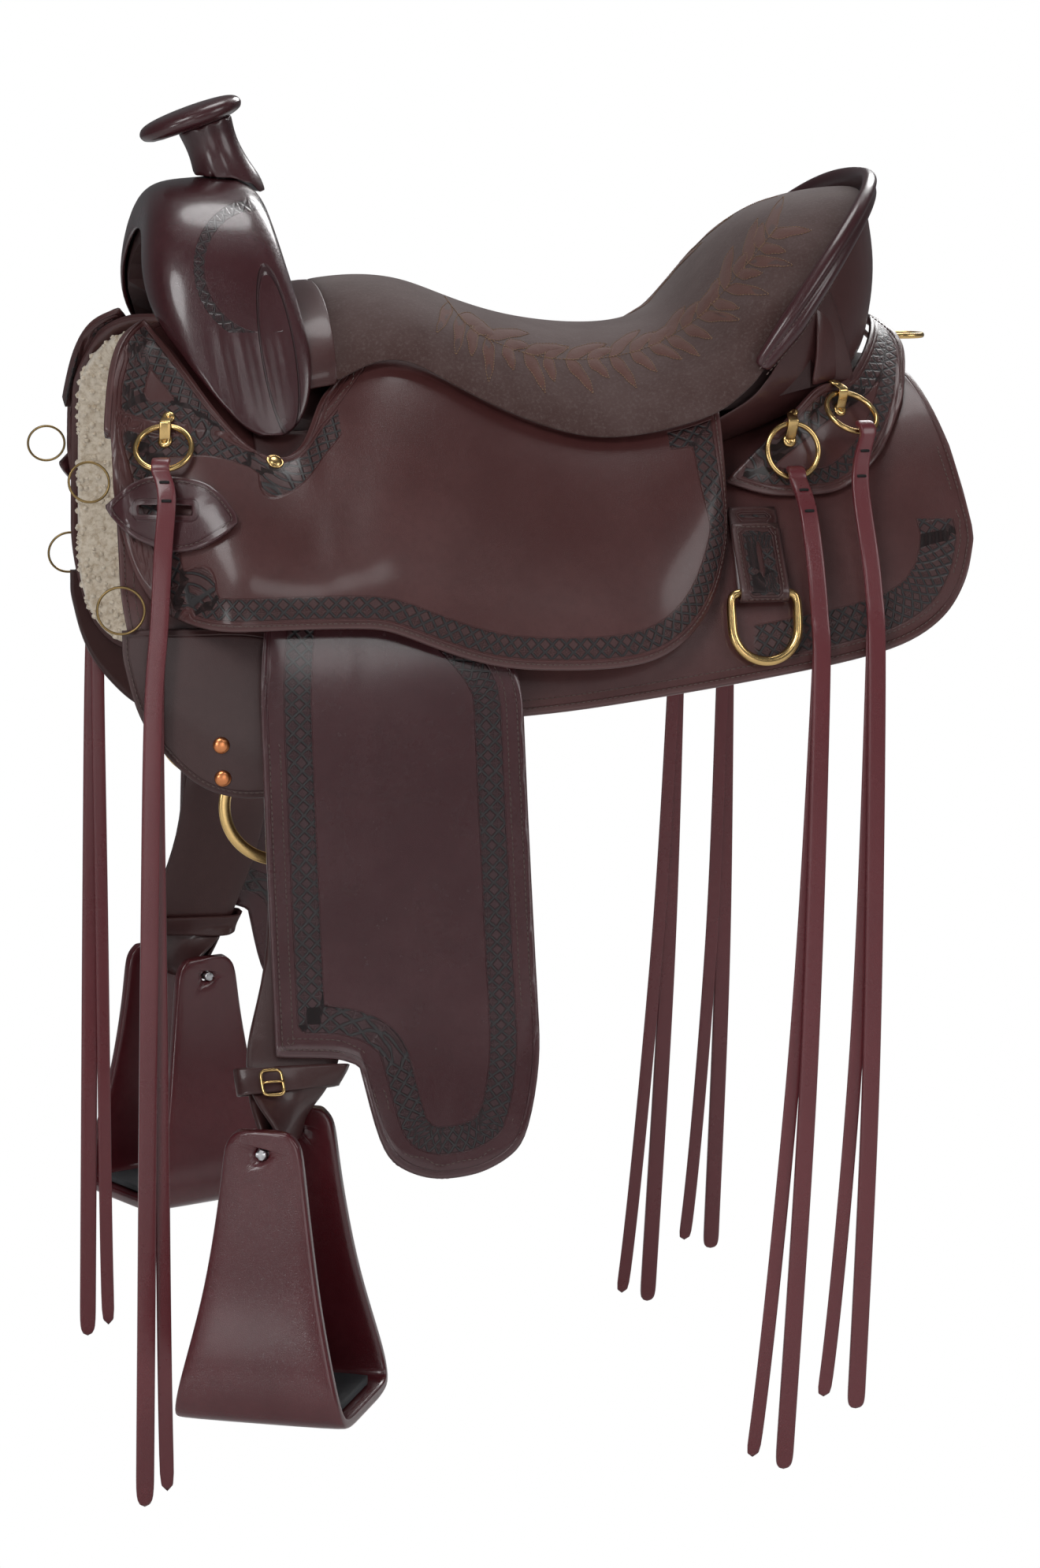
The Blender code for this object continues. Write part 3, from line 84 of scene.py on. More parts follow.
class SaddleLeather(bpy.types.PropertyGroup):
    smooth: colour("Smooth leather", "Skirts, jockeys and billets", (0.074, 0.023, 0.022))
    glossy: colour("Glossy leather", "Fenders, swell, horn and keepers", (0.050, 0.011, 0.014))
    oxblood: colour("Oxblood leather", "Saddle strings", (0.230, 0.020, 0.032))
    stirrup: colour("Stirrup leather", "The cover of the stirrups", (0.078, 0.008, 0.012))
    edge: colour("Edge dye", "The dyed rims of every panel", (0.016, 0.009, 0.009))
    stamp: colour("Stamp dye", "The ground of the stamped borders", (0.022, 0.020, 0.021))


class SaddleSeat(bpy.types.PropertyGroup):
    suede: colour("Suede", "The padded seat", (0.058, 0.022, 0.018))
    leaf: colour("Leaves", "The leaf sprays sewn on the seat", (0.110, 0.034, 0.022))
    fill: FloatProperty(name="Fill", description="How full the padding is", default=0.6, min=0, max=1)


class SaddleStitches(bpy.types.PropertyGroup):
    pitch: length("Pitch", "From one stitch to the next", 0.0042)
    thickness: length("Thread", "Thickness of the thread", 0.0009)
    thread: colour("Thread", "Thread along the leather's edges", (0.120, 0.070, 0.058))
    tan: colour("Tan thread", "Thread of the seat's sprays", (0.260, 0.140, 0.070))


class SaddleMetal(bpy.types.PropertyGroup):
    brass: colour("Brass", "Rings, dees, clips and buckles", (0.690, 0.470, 0.200))
    copper: colour("Copper", "Rivets of the rigging", (0.720, 0.270, 0.110))
    steel: colour("Steel", "Bolts", (0.520, 0.520, 0.530))


class SaddleFleece(bpy.types.PropertyGroup):
    wool: colour("Wool", "The fleece under the skirts", (0.740, 0.650, 0.530))
    tufts: IntProperty(name="Tufts", description="Tufts on each side", default=5200, min=0, max=9000)
    tuft: length("Tuft size", "Across one tuft", 0.0048)


class SaddleStage(bpy.types.PropertyGroup):
    floor: colour("Floor", "Floor and backdrop", (0.86, 0.86, 0.86))
    lens: FloatProperty(name="Lens", description="Focal length in mm on a 36 mm long side", default=98.3, min=20)
    level: FloatProperty(name="Level", description="Strength of the lamps", default=1.0, min=0)


GROUPS = {"saddle_leather": SaddleLeather, "saddle_seat": SaddleSeat, "saddle_stitches": SaddleStitches,
          "saddle_metal": SaddleMetal, "saddle_fleece": SaddleFleece, "saddle_stage": SaddleStage}


# Shader maths

class Value:
    """A number socket that adds its own Math nodes."""

    def __init__(self, maker, socket):
        self.maker, self.socket = maker, socket

    def maths(self, operation, *values):
        node = self.maker.node("ShaderNodeMath", {"operation": operation}, dict(enumerate(values)))
        return Value(self.maker, node.outputs[0])

    def __add__(self, other):
        return self.maths("ADD", self, other)

    def __radd__(self, other):
        return self.maths("ADD", other, self)

    def __sub__(self, other):
        return self.maths("SUBTRACT", self, other)

    def __rsub__(self, other):
        return self.maths("SUBTRACT", other, self)

    def __mul__(self, other):
        return self.maths("MULTIPLY", self, other)

    def __rmul__(self, other):
        return self.maths("MULTIPLY", other, self)

    def __truediv__(self, other):
        return self.maths("DIVIDE", self, other)

    def __rtruediv__(self, other):
        return self.maths("DIVIDE", other, self)

    def above(self, other):
        return self.maths("GREATER_THAN", self, other)

    def below(self, other):
        return self.maths("LESS_THAN", self, other)

    def sine(self):
        return self.maths("SINE", self)

    def size(self):
        return self.maths("ABSOLUTE", self)

    def part(self):
        return self.maths("FRACT", self)

    def power(self, other):
        return self.maths("POWER", self, other)

    def least(self, other):
        return self.maths("MINIMUM", self, other)

    def most(self, other):
        return self.maths("MAXIMUM", self, other)

    def ramp(self, low, high):
        """0 below low, 1 above high, and smooth between."""
        node = self.maker.node("ShaderNodeMapRange", {"interpolation_type": "SMOOTHSTEP"},
                               {"Value": self, "From Min": low, "From Max": high})
        return Value(self.maker, node.outputs["Result"])

    def band(self, low, high, soft):
        """1 between low and high."""
        return self.ramp(low - soft, low + soft) * (1 - self.ramp(high - soft, high + soft))


def rgba(value):
    """A colour with its alpha; any other value as it is."""
    if isinstance(value, (tuple, list)) or hasattr(value, "r"):
        return (*tuple(value)[:3], 1.0)
    return value


class NodeMaker:
    """A node tree being made, in self.tree."""

    def node(self, kind, settings=None, sockets=None):
        made = self.tree.nodes.new(kind)
        for name, value in (settings or {}).items():
            setattr(made, name, value)
        for name, value in (sockets or {}).items():
            self.feed(made.inputs[name], value)
        return made

    def feed(self, socket, value):
        if isinstance(value, Value):
            value = value.socket
        if isinstance(value, bpy.types.NodeSocket):
            self.tree.links.new(value, socket)
        elif value is not None:
            socket.default_value = value


class Finish(NodeMaker):
    """A material being made."""

    def __init__(self, name):
        self.material = bpy.data.materials.new(name)
        self.material.use_nodes = True
        self.tree = self.material.node_tree
        self.shader = self.tree.nodes["Principled BSDF"]
        self.place = self.node("ShaderNodeTexCoord").outputs["Object"]

    def attribute(self, name):
        node = self.node("ShaderNodeAttribute", {"attribute_name": name})
        return Value(self, node.outputs["Fac"])

    def axes(self):
        node = self.node("ShaderNodeSeparateXYZ", {}, {"Vector": self.place})
        return [Value(self, node.outputs[k]) for k in range(3)]

    def noise(self, scale, detail=3.0, rough=0.55, stretch=(1, 1, 1)):
        spot = self.node("ShaderNodeMapping", {}, {"Vector": self.place, "Scale": stretch}).outputs[0]
        node = self.node("ShaderNodeTexNoise", {},
                         {"Vector": spot, "Scale": scale, "Detail": detail, "Roughness": rough})
        return Value(self, node.outputs["Fac"])

    def cells(self, scale):
        """The distance to the edge of the nearest cell."""
        node = self.node("ShaderNodeTexVoronoi", {"feature": "DISTANCE_TO_EDGE"},
                         {"Vector": self.place, "Scale": scale})
        return Value(self, node.outputs["Distance"])

    def mix(self, share, first, second):
        made = self.node("ShaderNodeMix", {"data_type": "RGBA"}, {0: share, 6: rgba(first), 7: rgba(second)})
        return made.outputs[2]

    def bump(self, height):
        """Feeds the normal with a height in millimetres."""
        made = self.node("ShaderNodeBump", {}, {"Strength": 1.0, "Distance": MILLIMETRE, "Height": height})
        self.feed(self.shader.inputs["Normal"], made.outputs["Normal"])

    def set(self, **values):
        for name, value in values.items():
            self.feed(self.shader.inputs[name.replace("_", " ").title().replace("Ior", "IOR")], rgba(value))
        return self.material


def darker(tint, share):
    return tuple(channel * share for channel in tint)


def lighter(tint, share):
    return tuple(channel + (1 - channel) * share for channel in tint)


# Materials

# Widths and places along a rim are in metres, depths in millimetres.
STAMP_SIZE, EDGE_LINE, SOFT = 0.0112, (0.0040, 0.0050), 0.0004
# The first rim band below is lighter for edge wear together with a painted highlight along the rounded edge.
# The last rim band below is painted shade on the seat's suede, darker towards its outline.
WEAR_AND_HIGHLIGHT_RIM, DYED_RIM, SUEDE_SHADE_RIM = (0.0004, 0.0022), (0.0, 0.0006), (0.002, 0.020)
EDGE_LINE_DEPTH, BORDER_DEPTH, STAMP_DEPTH, STAMP_SUNK = 0.5, 0.6, 1.3, 0.9
PORE_DEPTH, CREASE_DEPTH, PLEAT_DEPTH, SEAM_DEPTH = 0.045, 0.10, 0.9, 1.3
SMEAR_DEPTH, NAP_DEPTH, SUEDE_WAVE_DEPTH, CURL_DEPTH, TWIST_DEPTH = 0.008, 0.16, 0.25, 1.4, 0.08
SWELL_BAND, SWELL_BAND_STAMP = (0.0455, 0.0535), 0.0094
PLEAT_WIDTH = 0.0165


def pores(finish):
    """Heights of pores and soft creases of a finished hide, in millimetres."""
    grain = finish.cells(900).ramp(0.0, 0.22) * PORE_DEPTH
    creases = finish.noise(70, 4, 0.6, (1, 1, 0.35)) * CREASE_DEPTH
    return grain + creases


def diamonds(along, across, size):
    """Height of a stamp of leaning diamonds, 0 in the cuts between them to 1."""
    u = ((along / size).part() - 0.5).size()
    v = ((across / size).part() - 0.5).size()
    edge = ((u + v) - 0.5).size()
    vein = u.least(v)
    return edge.ramp(0.05, 0.20) * (0.55 + 0.45 * vein.ramp(0.02, 0.07))


def leather(name, tint, rough, coat, band=None, where=None, pleats=None, edged=True):
    """Leather with pores, a dyed rim, a lighter band of edge wear and painted highlight inside it, a creased edge
    line and, in a band along its rim, basket stamping.
    """
    look = bpy.context.scene.saddle_leather
    finish = Finish(name)
    rim = finish.attribute("rim")
    run = finish.attribute("run")
    height = pores(finish)
    cloud = finish.noise(9, 4, 0.6).ramp(0.35, 0.72)
    fine = finish.noise(160, 3, 0.6)
    deep, pale, speckled = darker(tint, 0.80), lighter(darker(tint, 1.18), 0.012), darker(tint, 0.62)
    base = finish.mix(cloud * 0.55, deep, pale)
    base = finish.mix(fine.ramp(0.40, 0.75) * 0.25, base, speckled)
    gloss = rough + finish.noise(14, 3, 0.55) * 0.16 - 0.08 + fine * 0.05
    height = height - rim.band(*EDGE_LINE, SOFT) * EDGE_LINE_DEPTH
    if band:
        low, high = band
        mask = rim.band(low, high, SOFT)
        if where:
            mask = mask * where(finish)
        borders = rim.band(low - 2 * SOFT, low + SOFT, SOFT) + rim.band(high - SOFT, high + 2 * SOFT, SOFT)
        weave = diamonds(run, rim - low, STAMP_SIZE)
        height = (height + mask * (weave * STAMP_DEPTH - STAMP_SUNK)
                  - (borders * (where(finish) if where else 1)) * BORDER_DEPTH)
        base = finish.mix(mask * (0.30 + 0.68 * (1 - weave.ramp(0.10, 0.60))), base, tuple(look.stamp))
        gloss = gloss + mask * 0.08
    if pleats:
        folds, shade = pleats(finish)
        height = height + folds
        base = finish.mix(shade, base, tuple(look.stamp))
    if edged:
        # A lighter band just inside the dyed edge: edge wear together with a painted highlight of the rounded rim.
        wear_and_highlight, dyed = 1 - rim.ramp(*WEAR_AND_HIGHLIGHT_RIM), 1 - rim.ramp(*DYED_RIM)
        base = finish.mix(wear_and_highlight * 0.45, base, lighter(darker(tint, 1.5), 0.05))
        base = finish.mix(dyed * 0.6, base, tuple(look.edge))
    finish.bump(height)
    return finish.set(base_color=base, roughness=gloss.most(0.12), coat_weight=coat, coat_roughness=0.16,
                      specular_ior_level=0.35)


def metal(name, tint, rough):
    finish = Finish(name)
    smear = finish.noise(60, 4, 0.65)
    speck = finish.noise(700, 2, 0.5).ramp(0.62, 0.75)
    base = finish.mix(smear.ramp(0.35, 0.75) * 0.35, tuple(tint), darker(tint, 0.72))
    base = finish.mix(speck * 0.15, base, darker(tint, 0.45))
    finish.bump(finish.noise(120, 2, 0.5) * SMEAR_DEPTH)
    return finish.set(base_color=base, metallic=1.0, roughness=rough + smear * 0.10)


def suede(name, tint):
    finish = Finish(name)
    nap = finish.noise(420, 4, 0.7)
    cloud = finish.noise(16, 4, 0.6).ramp(0.3, 0.7)
    base = finish.mix(cloud * 0.6, darker(tint, 0.78), lighter(tint, 0.035))
    # Painted highlight: the nap is lighter where its bump stands highest.
    base = finish.mix(nap.ramp(0.45, 0.8) * 0.4, base, lighter(tint, 0.10))
    rim = finish.attribute("rim")
    # Painted shade: the suede is darkened towards the outline of the seat's top, where it rolls over to its edge.
    base = finish.mix((1 - rim.ramp(*SUEDE_SHADE_RIM)) * 0.35, base, darker(tint, 0.5))
    finish.bump(nap * NAP_DEPTH + finish.noise(60, 3, 0.6) * SUEDE_WAVE_DEPTH)
    return finish.set(base_color=base, roughness=0.86 + nap * 0.1, sheen_weight=0.14, sheen_roughness=0.45)


def wool(name, tint):
    finish = Finish(name)
    curl = finish.noise(190, 5, 0.7)
    cloud = finish.noise(22, 3, 0.6).ramp(0.3, 0.75)
    base = finish.mix(cloud * 0.55, tuple(tint), darker(tint, 0.80))
    # Painted shade: the wool is darkened in the hollows between curls, where the curl bump is lowest.
    base = finish.mix((1 - curl.ramp(0.30, 0.62)) * 0.75, base, (tint[0] * 0.50, tint[1] * 0.42, tint[2] * 0.33))
    finish.bump(curl * CURL_DEPTH)
    return finish.set(base_color=base, roughness=0.95, sheen_weight=0.4, sheen_roughness=0.5)


def thread(name, tint):
    finish = Finish(name)
    x, y, z = finish.axes()
    twist = ((x + y + z) * 5200).sine()
    # Painted shade and highlight: the thread is darker in the grooves of its twist and lighter on its ridges,
    # following its bump.
    base = finish.mix(twist.ramp(-0.6, 0.8) * 0.6, darker(tint, 0.6), lighter(tint, 0.06))
    finish.bump(twist * TWIST_DEPTH)
    return finish.set(base_color=base, roughness=0.62)


# Shaping

def put(name, mesh, finish, body="saddle", replaced=()):
    """A finished piece at the origin that rides on a body."""
    mesh.materials.clear()
    mesh.materials.append(finish)
    mesh.shade_smooth()
    made = placed(name, mesh)
    if replaced:
        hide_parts(*replaced)
    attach(made, body)
    return made


def placed(name, data):
    """An object in the scene."""
    made = bpy.data.objects.new(name, data)
    bpy.context.scene.collection.objects.link(made)
    return made


def mesh_of(bm, name):
    mesh = bpy.data.meshes.new(name)
    bm.to_mesh(mesh)
    bm.free()
    return mesh


def baked(made):
    """The evaluated mesh of an object, which is then removed."""
    mesh = bpy.data.meshes.new_from_object(made.evaluated_get(bpy.context.evaluated_depsgraph_get()))
    bpy.data.objects.remove(made)
    return mesh


def modified(name, mesh, *steps):
    """A mesh after the modifiers named in steps, each a type with its settings."""
    made = placed(name, mesh)
    for kind, settings in steps:
        step = made.modifiers.new(kind.lower(), kind)
        for key, value in settings.items():
            setattr(step, key, value)
    return baked(made)


def divided(levels):
    return "SUBSURF", {"levels": levels, "render_levels": levels}


def finer(node, levels=2, firm=0.6, out=None, least=0.4):
    """A smoother copy of a CAD node, with the outline of the face that looks out marked as a seam."""
    bm = bmesh.new()
    bm.from_mesh(frame["nodes"][node].data)
    bmesh.ops.remove_doubles(bm, verts=bm.verts[:], dist=MERGE_GAP)
    bmesh.ops.join_triangles(bm, faces=bm.faces[:], angle_face_threshold=QUAD_BEND, angle_shape_threshold=QUAD_SKEW)
    crease = bm.edges.layers.float.new("crease_edge")
    for edge in bm.edges:
        if len(edge.link_faces) == 2 and edge.calc_face_angle() > CREASE_BEND:
            edge[crease] = firm
            if out is not None:
                facing = sorted(face.normal.dot(out) for face in edge.link_faces)
                edge.seam = facing[0] < least < facing[1]
    mesh = mesh_of(bm, node + "_fine")
    return modified(node + "_fine", mesh, divided(levels))


def outlines(mesh):
    """The closed loops of seam edges, as lists of points."""
    near = {}
    for edge in mesh.edges:
        if edge.use_seam:
            a, b = edge.vertices
            near.setdefault(a, []).append(b)
            near.setdefault(b, []).append(a)
    loops = []
    while near:
        start = min(near)
        loop, here, before = [], start, None
        while here is not None and here in near:
            loop.append(mesh.vertices[here].co.copy())
            ahead = [k for k in near.pop(here) if k != before and (k in near or k == start)]
            before, here = here, (ahead[0] if ahead and ahead[0] != start else None)
        if len(loop) > SHORTEST_LOOP:
            loops.append(loop)
    return sorted(loops, key=len, reverse=True)


def measure_rim(mesh, loops):
    """Writes each point's distance from the outlines, and its place along them, in metres."""
    spots = np.array([v.co for v in mesh.vertices])
    rim = np.full(len(spots), 1.0)
    run = np.zeros(len(spots))
    for loop in loops:
        line = np.array([*loop, loop[0]])
        steps = line[1:] - line[:-1]
        lengths = np.maximum(np.linalg.norm(steps, axis=1), 1e-9)
        starts = np.concatenate([[0.0], np.cumsum(lengths)])
        for k in range(len(steps)):
            t = np.clip(((spots - line[k]) @ steps[k]) / lengths[k] ** 2, 0, 1)
            gap = np.linalg.norm(spots - line[k] - t[:, None] * steps[k], axis=1)
            closer = gap < rim
            rim[closer] = gap[closer]
            run[closer] = starts[k] + t[closer] * lengths[k]
    for name, values in (("rim", rim), ("run", run)):
        mesh.attributes.new(name, "FLOAT", "POINT").data.foreach_set("value", values.astype(np.float32))


def bvh_of(mesh):
    return BVHTree.FromPolygons([v.co for v in mesh.vertices], [p.vertices for p in mesh.polygons])


def even(line, pitch):
    """Points a pitch apart along a closed line."""
    points = [*line, line[0]]
    total = sum((b - a).length for a, b in zip(points, points[1:]))
    count = max(int(total / pitch), 2)
    result, k, gone = [], 0, 0.0
    for step in range(count):
        want = total * step / count
        while gone + (points[k + 1] - points[k]).length < want:
            gone += (points[k + 1] - points[k]).length
            k += 1
        span = max((points[k + 1] - points[k]).length, 1e-9)
        result.append(points[k].lerp(points[k + 1], (want - gone) / span))
    return result


def inset_row(line, tree, inset, out):
    """A closed line moved inwards over a surface by inset."""
    points = even(line, ROW_STEP)
    row = []
    for k, point in enumerate(points):
        along = (points[(k + 1) % len(points)] - points[k - 1]).normalized()
        _spot, facing, _index, _gap = tree.find_nearest(point + out * 0.002)
        across = facing.cross(along).normalized()
        tries = []
        for way in (1, -1):
            spot, normal, _index, gap = tree.find_nearest(point + across * (inset * way))
            tries.append((gap, spot + normal * ROW_LIFT))
        row.append(min(tries, key=lambda pair: pair[0])[1])
    return row


def smoothed(row):
    """A closed row evened out between its neighbours."""
    count = len(row)
    for _pass in range(2):
        row = [row[k - 1] * 0.25 + row[k] * 0.5 + row[(k + 1) % count] * 0.25 for k in range(count)]
    return row


def shares(line, keep):
    """The runs of a closed line where keep(point) holds, each an open line."""
    flags = [keep(p) for p in line]
    if all(flags):
        return [line + [line[0]]]
    start = flags.index(False)
    turned = line[start:] + line[:start]
    runs, now = [], []
    for point in turned:
        if keep(point):
            now.append(point)
        elif now:
            runs.append(now)
            now = []
    if now:
        runs.append(now)
    return [run for run in runs if len(run) > SHORTEST_RUN]


def loft(rings, closed=False):
    """A skin through rings of points, with capped ends unless it closes."""
    bm = bmesh.new()
    rows = [[bm.verts.new(point) for point in ring] for ring in rings]
    pairs = list(zip(rows, rows[1:])) + ([(rows[-1], rows[0])] if closed else [])
    for row, following in pairs:
        for k in range(len(row)):
            after = (k + 1) % len(row)
            bm.faces.new((row[k], row[after], following[after], following[k]))
    if not closed:
        bm.faces.new(rows[0])
        bm.faces.new(rows[-1])
    bmesh.ops.recalc_face_normals(bm, faces=bm.faces[:])
    return bm


def strap(name, points, wide, thickness, levels=2):
    """A strap with round edges along points; wide is half its width as a vector, or one for each point."""
    rings = []
    for k, point in enumerate(points):
        along = points[min(k + 1, len(points) - 1)] - points[max(k - 1, 0)]
        across = wide[k] if isinstance(wide, list) else wide
        up = along.cross(across).normalized() * thickness / 2
        rings.append([point + across * a + up * b for a, b in STRAP_SECTION])
    return modified(name, mesh_of(loft(rings), name), divided(levels))


def tube(points, radius, closed=False):
    """A round tube along points, as a bmesh."""
    turns = [2 * math.pi * s / TUBE_SIDES for s in range(TUBE_SIDES)]
    rings = []
    count = len(points)
    side = None
    for k in range(count):
        if closed:
            along = points[(k + 1) % count] - points[k - 1]
        else:
            along = points[min(k + 1, count - 1)] - points[max(k - 1, 0)]
        along.normalize()
        if side is None:
            side = along.orthogonal()
        side = (side - along * side.dot(along)).normalized()
        third = along.cross(side)
        rings.append([points[k] + (side * math.cos(turn) + third * math.sin(turn)) * radius for turn in turns])
    return loft(rings, closed)


def lathe(profile, sides):
    """A bmesh turned about Z from (radius, height) pairs, with both ends closed."""
    turns = [2 * math.pi * k / sides for k in range(sides)]
    return loft([[Vector((r * math.cos(turn), r * math.sin(turn), z)) for turn in turns] for r, z in profile])


def joined(name, *parts):
    """One mesh from several meshes or bmeshes."""
    whole = bmesh.new()
    for part in parts:
        piece = mesh_of(part, name + "_part") if isinstance(part, bmesh.types.BMesh) else part
        whole.from_mesh(piece)
    return mesh_of(whole, name)


# Geometry node trees

class Wiring(NodeMaker):
    """A geometry node tree being made, with named inputs given as (label, kind, default)."""

    def __init__(self, name, **inputs):
        self.tree = bpy.data.node_groups.new(name, "GeometryNodeTree")
        for way in ("INPUT", "OUTPUT"):
            self.tree.interface.new_socket("Geometry", in_out=way, socket_type="NodeSocketGeometry")
        self.keys = {}
        for key, (label, kind, default) in inputs.items():
            socket = self.tree.interface.new_socket(label, in_out="INPUT", socket_type="NodeSocket" + kind)
            if default is not None:
                socket.default_value = default
            self.keys[key] = socket.identifier
        self.given = self.node("NodeGroupInput").outputs
        self.made = self.node("NodeGroupOutput")

    def product(self, first, second):
        return self.node("ShaderNodeMath", {"operation": "MULTIPLY"}, {0: first, 1: second}).outputs[0]

    def painted(self, geometry):
        """Ends the tree with its finish on the geometry."""
        last = self.node("GeometryNodeSetMaterial", {}, {"Geometry": geometry, "Material": self.given["Finish"]})
        self.feed(self.made.inputs[0], last.outputs[0])
        return self.tree, self.keys


def through_tree(source, tree, values):
    """The mesh that a node tree makes from an object, which is then removed."""
    step = source.modifiers.new(tree.name, "NODES")
    step.node_group = tree
    for key, value in values.items():
        step[key] = value
    return baked(source)


def stitch_tree():
    """Stitches a pitch apart along curves."""
    wires = Wiring("stitches", pitch=("Pitch", "Float", 0.0042), thread=("Thread", "Float", 0.0009),
                   finish=("Finish", "Material", None))
    given = wires.given
    evened = wires.node("GeometryNodeResampleCurve", {"mode": "LENGTH"},
                        {"Curve": given["Geometry"], "Length": given["Pitch"]})
    ball = wires.node("GeometryNodeMeshUVSphere", {}, {"Segments": 6, "Rings": 5, "Radius": 1.0})
    long, thick = wires.product(given["Pitch"], 0.41), wires.product(given["Thread"], 0.5)
    size = wires.node("ShaderNodeCombineXYZ", {}, {0: long, 1: thick, 2: thick})
    shaped = wires.node("GeometryNodeTransform", {}, {"Geometry": ball.outputs["Mesh"], "Scale": size.outputs[0]})
    tangent = wires.node("GeometryNodeInputTangent")
    turned = wires.node("FunctionNodeAlignRotationToVector", {"axis": "X"}, {"Vector": tangent.outputs[0]})
    spread = wires.node("GeometryNodeInstanceOnPoints", {}, {
        "Points": evened.outputs["Curve"], "Instance": shaped.outputs[0], "Rotation": turned.outputs[0]})
    real = wires.node("GeometryNodeRealizeInstances", {}, {0: spread.outputs[0]})
    return wires.painted(real.outputs[0])


def head_tree():
    """A copy of a head on every point, turned to its facing and grown to its size."""
    wires = Wiring("heads", head=("Head", "Object", None), finish=("Finish", "Material", None))
    head = wires.node("GeometryNodeObjectInfo", {}, {"Object": wires.given["Head"]})
    facing = wires.node("GeometryNodeInputNamedAttribute", {"data_type": "FLOAT_VECTOR"}, {"Name": "facing"})
    size = wires.node("GeometryNodeInputNamedAttribute", {"data_type": "FLOAT"}, {"Name": "size"})
    turned = wires.node("FunctionNodeAlignRotationToVector", {"axis": "Z"}, {"Vector": facing.outputs["Attribute"]})
    spread = wires.node("GeometryNodeInstanceOnPoints", {}, {
        "Points": wires.given["Geometry"], "Instance": head.outputs["Geometry"], "Rotation": turned.outputs[0],
        "Scale": size.outputs["Attribute"]})
    real = wires.node("GeometryNodeRealizeInstances", {}, {0: spread.outputs[0]})
    return wires.painted(real.outputs[0])


def heads(name, spots, profile, finish, sides=HEAD_SIDES):
    """Heads of screws or rivets; spots are (point, facing, size) and the profile is for a size of 1."""
    points = bpy.data.meshes.new(name + "_points")
    points.from_pydata([spot for spot, _facing, _size in spots], [], [])
    points.attributes.new("facing", "FLOAT_VECTOR", "POINT").data.foreach_set(
        "vector", [c for _spot, facing, _size in spots for c in facing])
    points.attributes.new("size", "FLOAT", "POINT").data.foreach_set("value", [size for *_rest, size in spots])
    holder = placed(name + "_points", points)
    shape = placed(name + "_head", mesh_of(lathe(profile, sides), name + "_head"))
    tree, keys = MADE["head_tree"]
    mesh = through_tree(holder, tree, {keys["head"]: shape, keys["finish"]: finish})
    bpy.data.objects.remove(shape)
    put(name, mesh, finish)


def stitch(name, rows, finish, body="saddle", pitch=None, thread_size=None):
    """Stitches along open or closed rows, a row being (points, closed)."""
    look = bpy.context.scene.saddle_stitches
    line = bpy.data.curves.new(name, "CURVE")
    line.dimensions = "3D"
    for points, closed in rows:
        spline = line.splines.new("POLY")
        spline.points.add(len(points) - 1)
        for target, point in zip(spline.points, points):
            target.co = (*point, 1.0)
        spline.use_cyclic_u = closed
    holder = placed(name + "_line", line)
    tree, keys = MADE["stitch_tree"]
    mesh = through_tree(holder, tree, {keys["pitch"]: pitch or look.pitch,
                                       keys["thread"]: thread_size or look.thickness, keys["finish"]: finish})
    put(name, mesh, finish, body)


# Strings

STRING_BEND = 0.0072
STRING_WIDTH = 0.014
STRING_THICKNESS = 0.005
BEND_START, BEND_STEP, BEND_POINTS = 80, 12.5, 9
ROUTE_STEPS, SETTLED_AFTER = 48, 0.06
TAIL_START, TAIL_THICKNESS, TAIL_GAP, TAIL_DROP = 33, 0.0022, 0.0042, 0.010
TAIL_SPREAD = {"front": 0.017, "rear_low": -0.024, "rear_high": -0.024}
# Slits on the strings are near-black tubes, painted shade standing in for the dark gap of each slit.
SLITS_AT, SLIT_RADIUS = (13, 17), 0.0011
SLIT_LINE = ((-0.0035, 0), (-0.0012, 0.0006), (0.0012, 0.0006), (0.0035, 0))
STRING_ROUTES = {
    "front": (0.237, [(-0.288, 0.2245, -0.045), (-0.292, 0.2320, -0.085), (-0.296, 0.2355, -0.140),
                      (-0.302, 0.2355, -0.220), (-0.308, 0.2355, -0.450), (-0.316, 0.2355, -0.820)]),
    "rear_low": (-0.100, [(0.207, 0.2120, -0.070), (0.210, 0.2340, -0.140), (0.210, 0.2420, -0.210),
                          (0.203, 0.2440, -0.500), (0.186, 0.2440, -0.818)]),
    "rear_high": (-0.339, [(0.250, 0.2020, -0.045), (0.253, 0.2310, -0.120), (0.254, 0.2420, -0.200),
                           (0.253, 0.2440, -0.500), (0.244, 0.2440, -0.772)]),
}


def spline_point(points, t):
    """The point at t, from 0 to 1, of an even spline through the points."""
    place = t * (len(points) - 1)
    i = min(int(place), len(points) - 2)
    t = place - i
    before, start, end, after = (Vector(points[min(max(k, 0), len(points) - 1)]) for k in (i - 1, i, i + 1, i + 2))
    return 0.5 * (2 * start + (end - before) * t + (2 * before - 5 * start + 4 * end - after) * t * t
                  + (3 * start - before - 3 * end + after) * t ** 3)


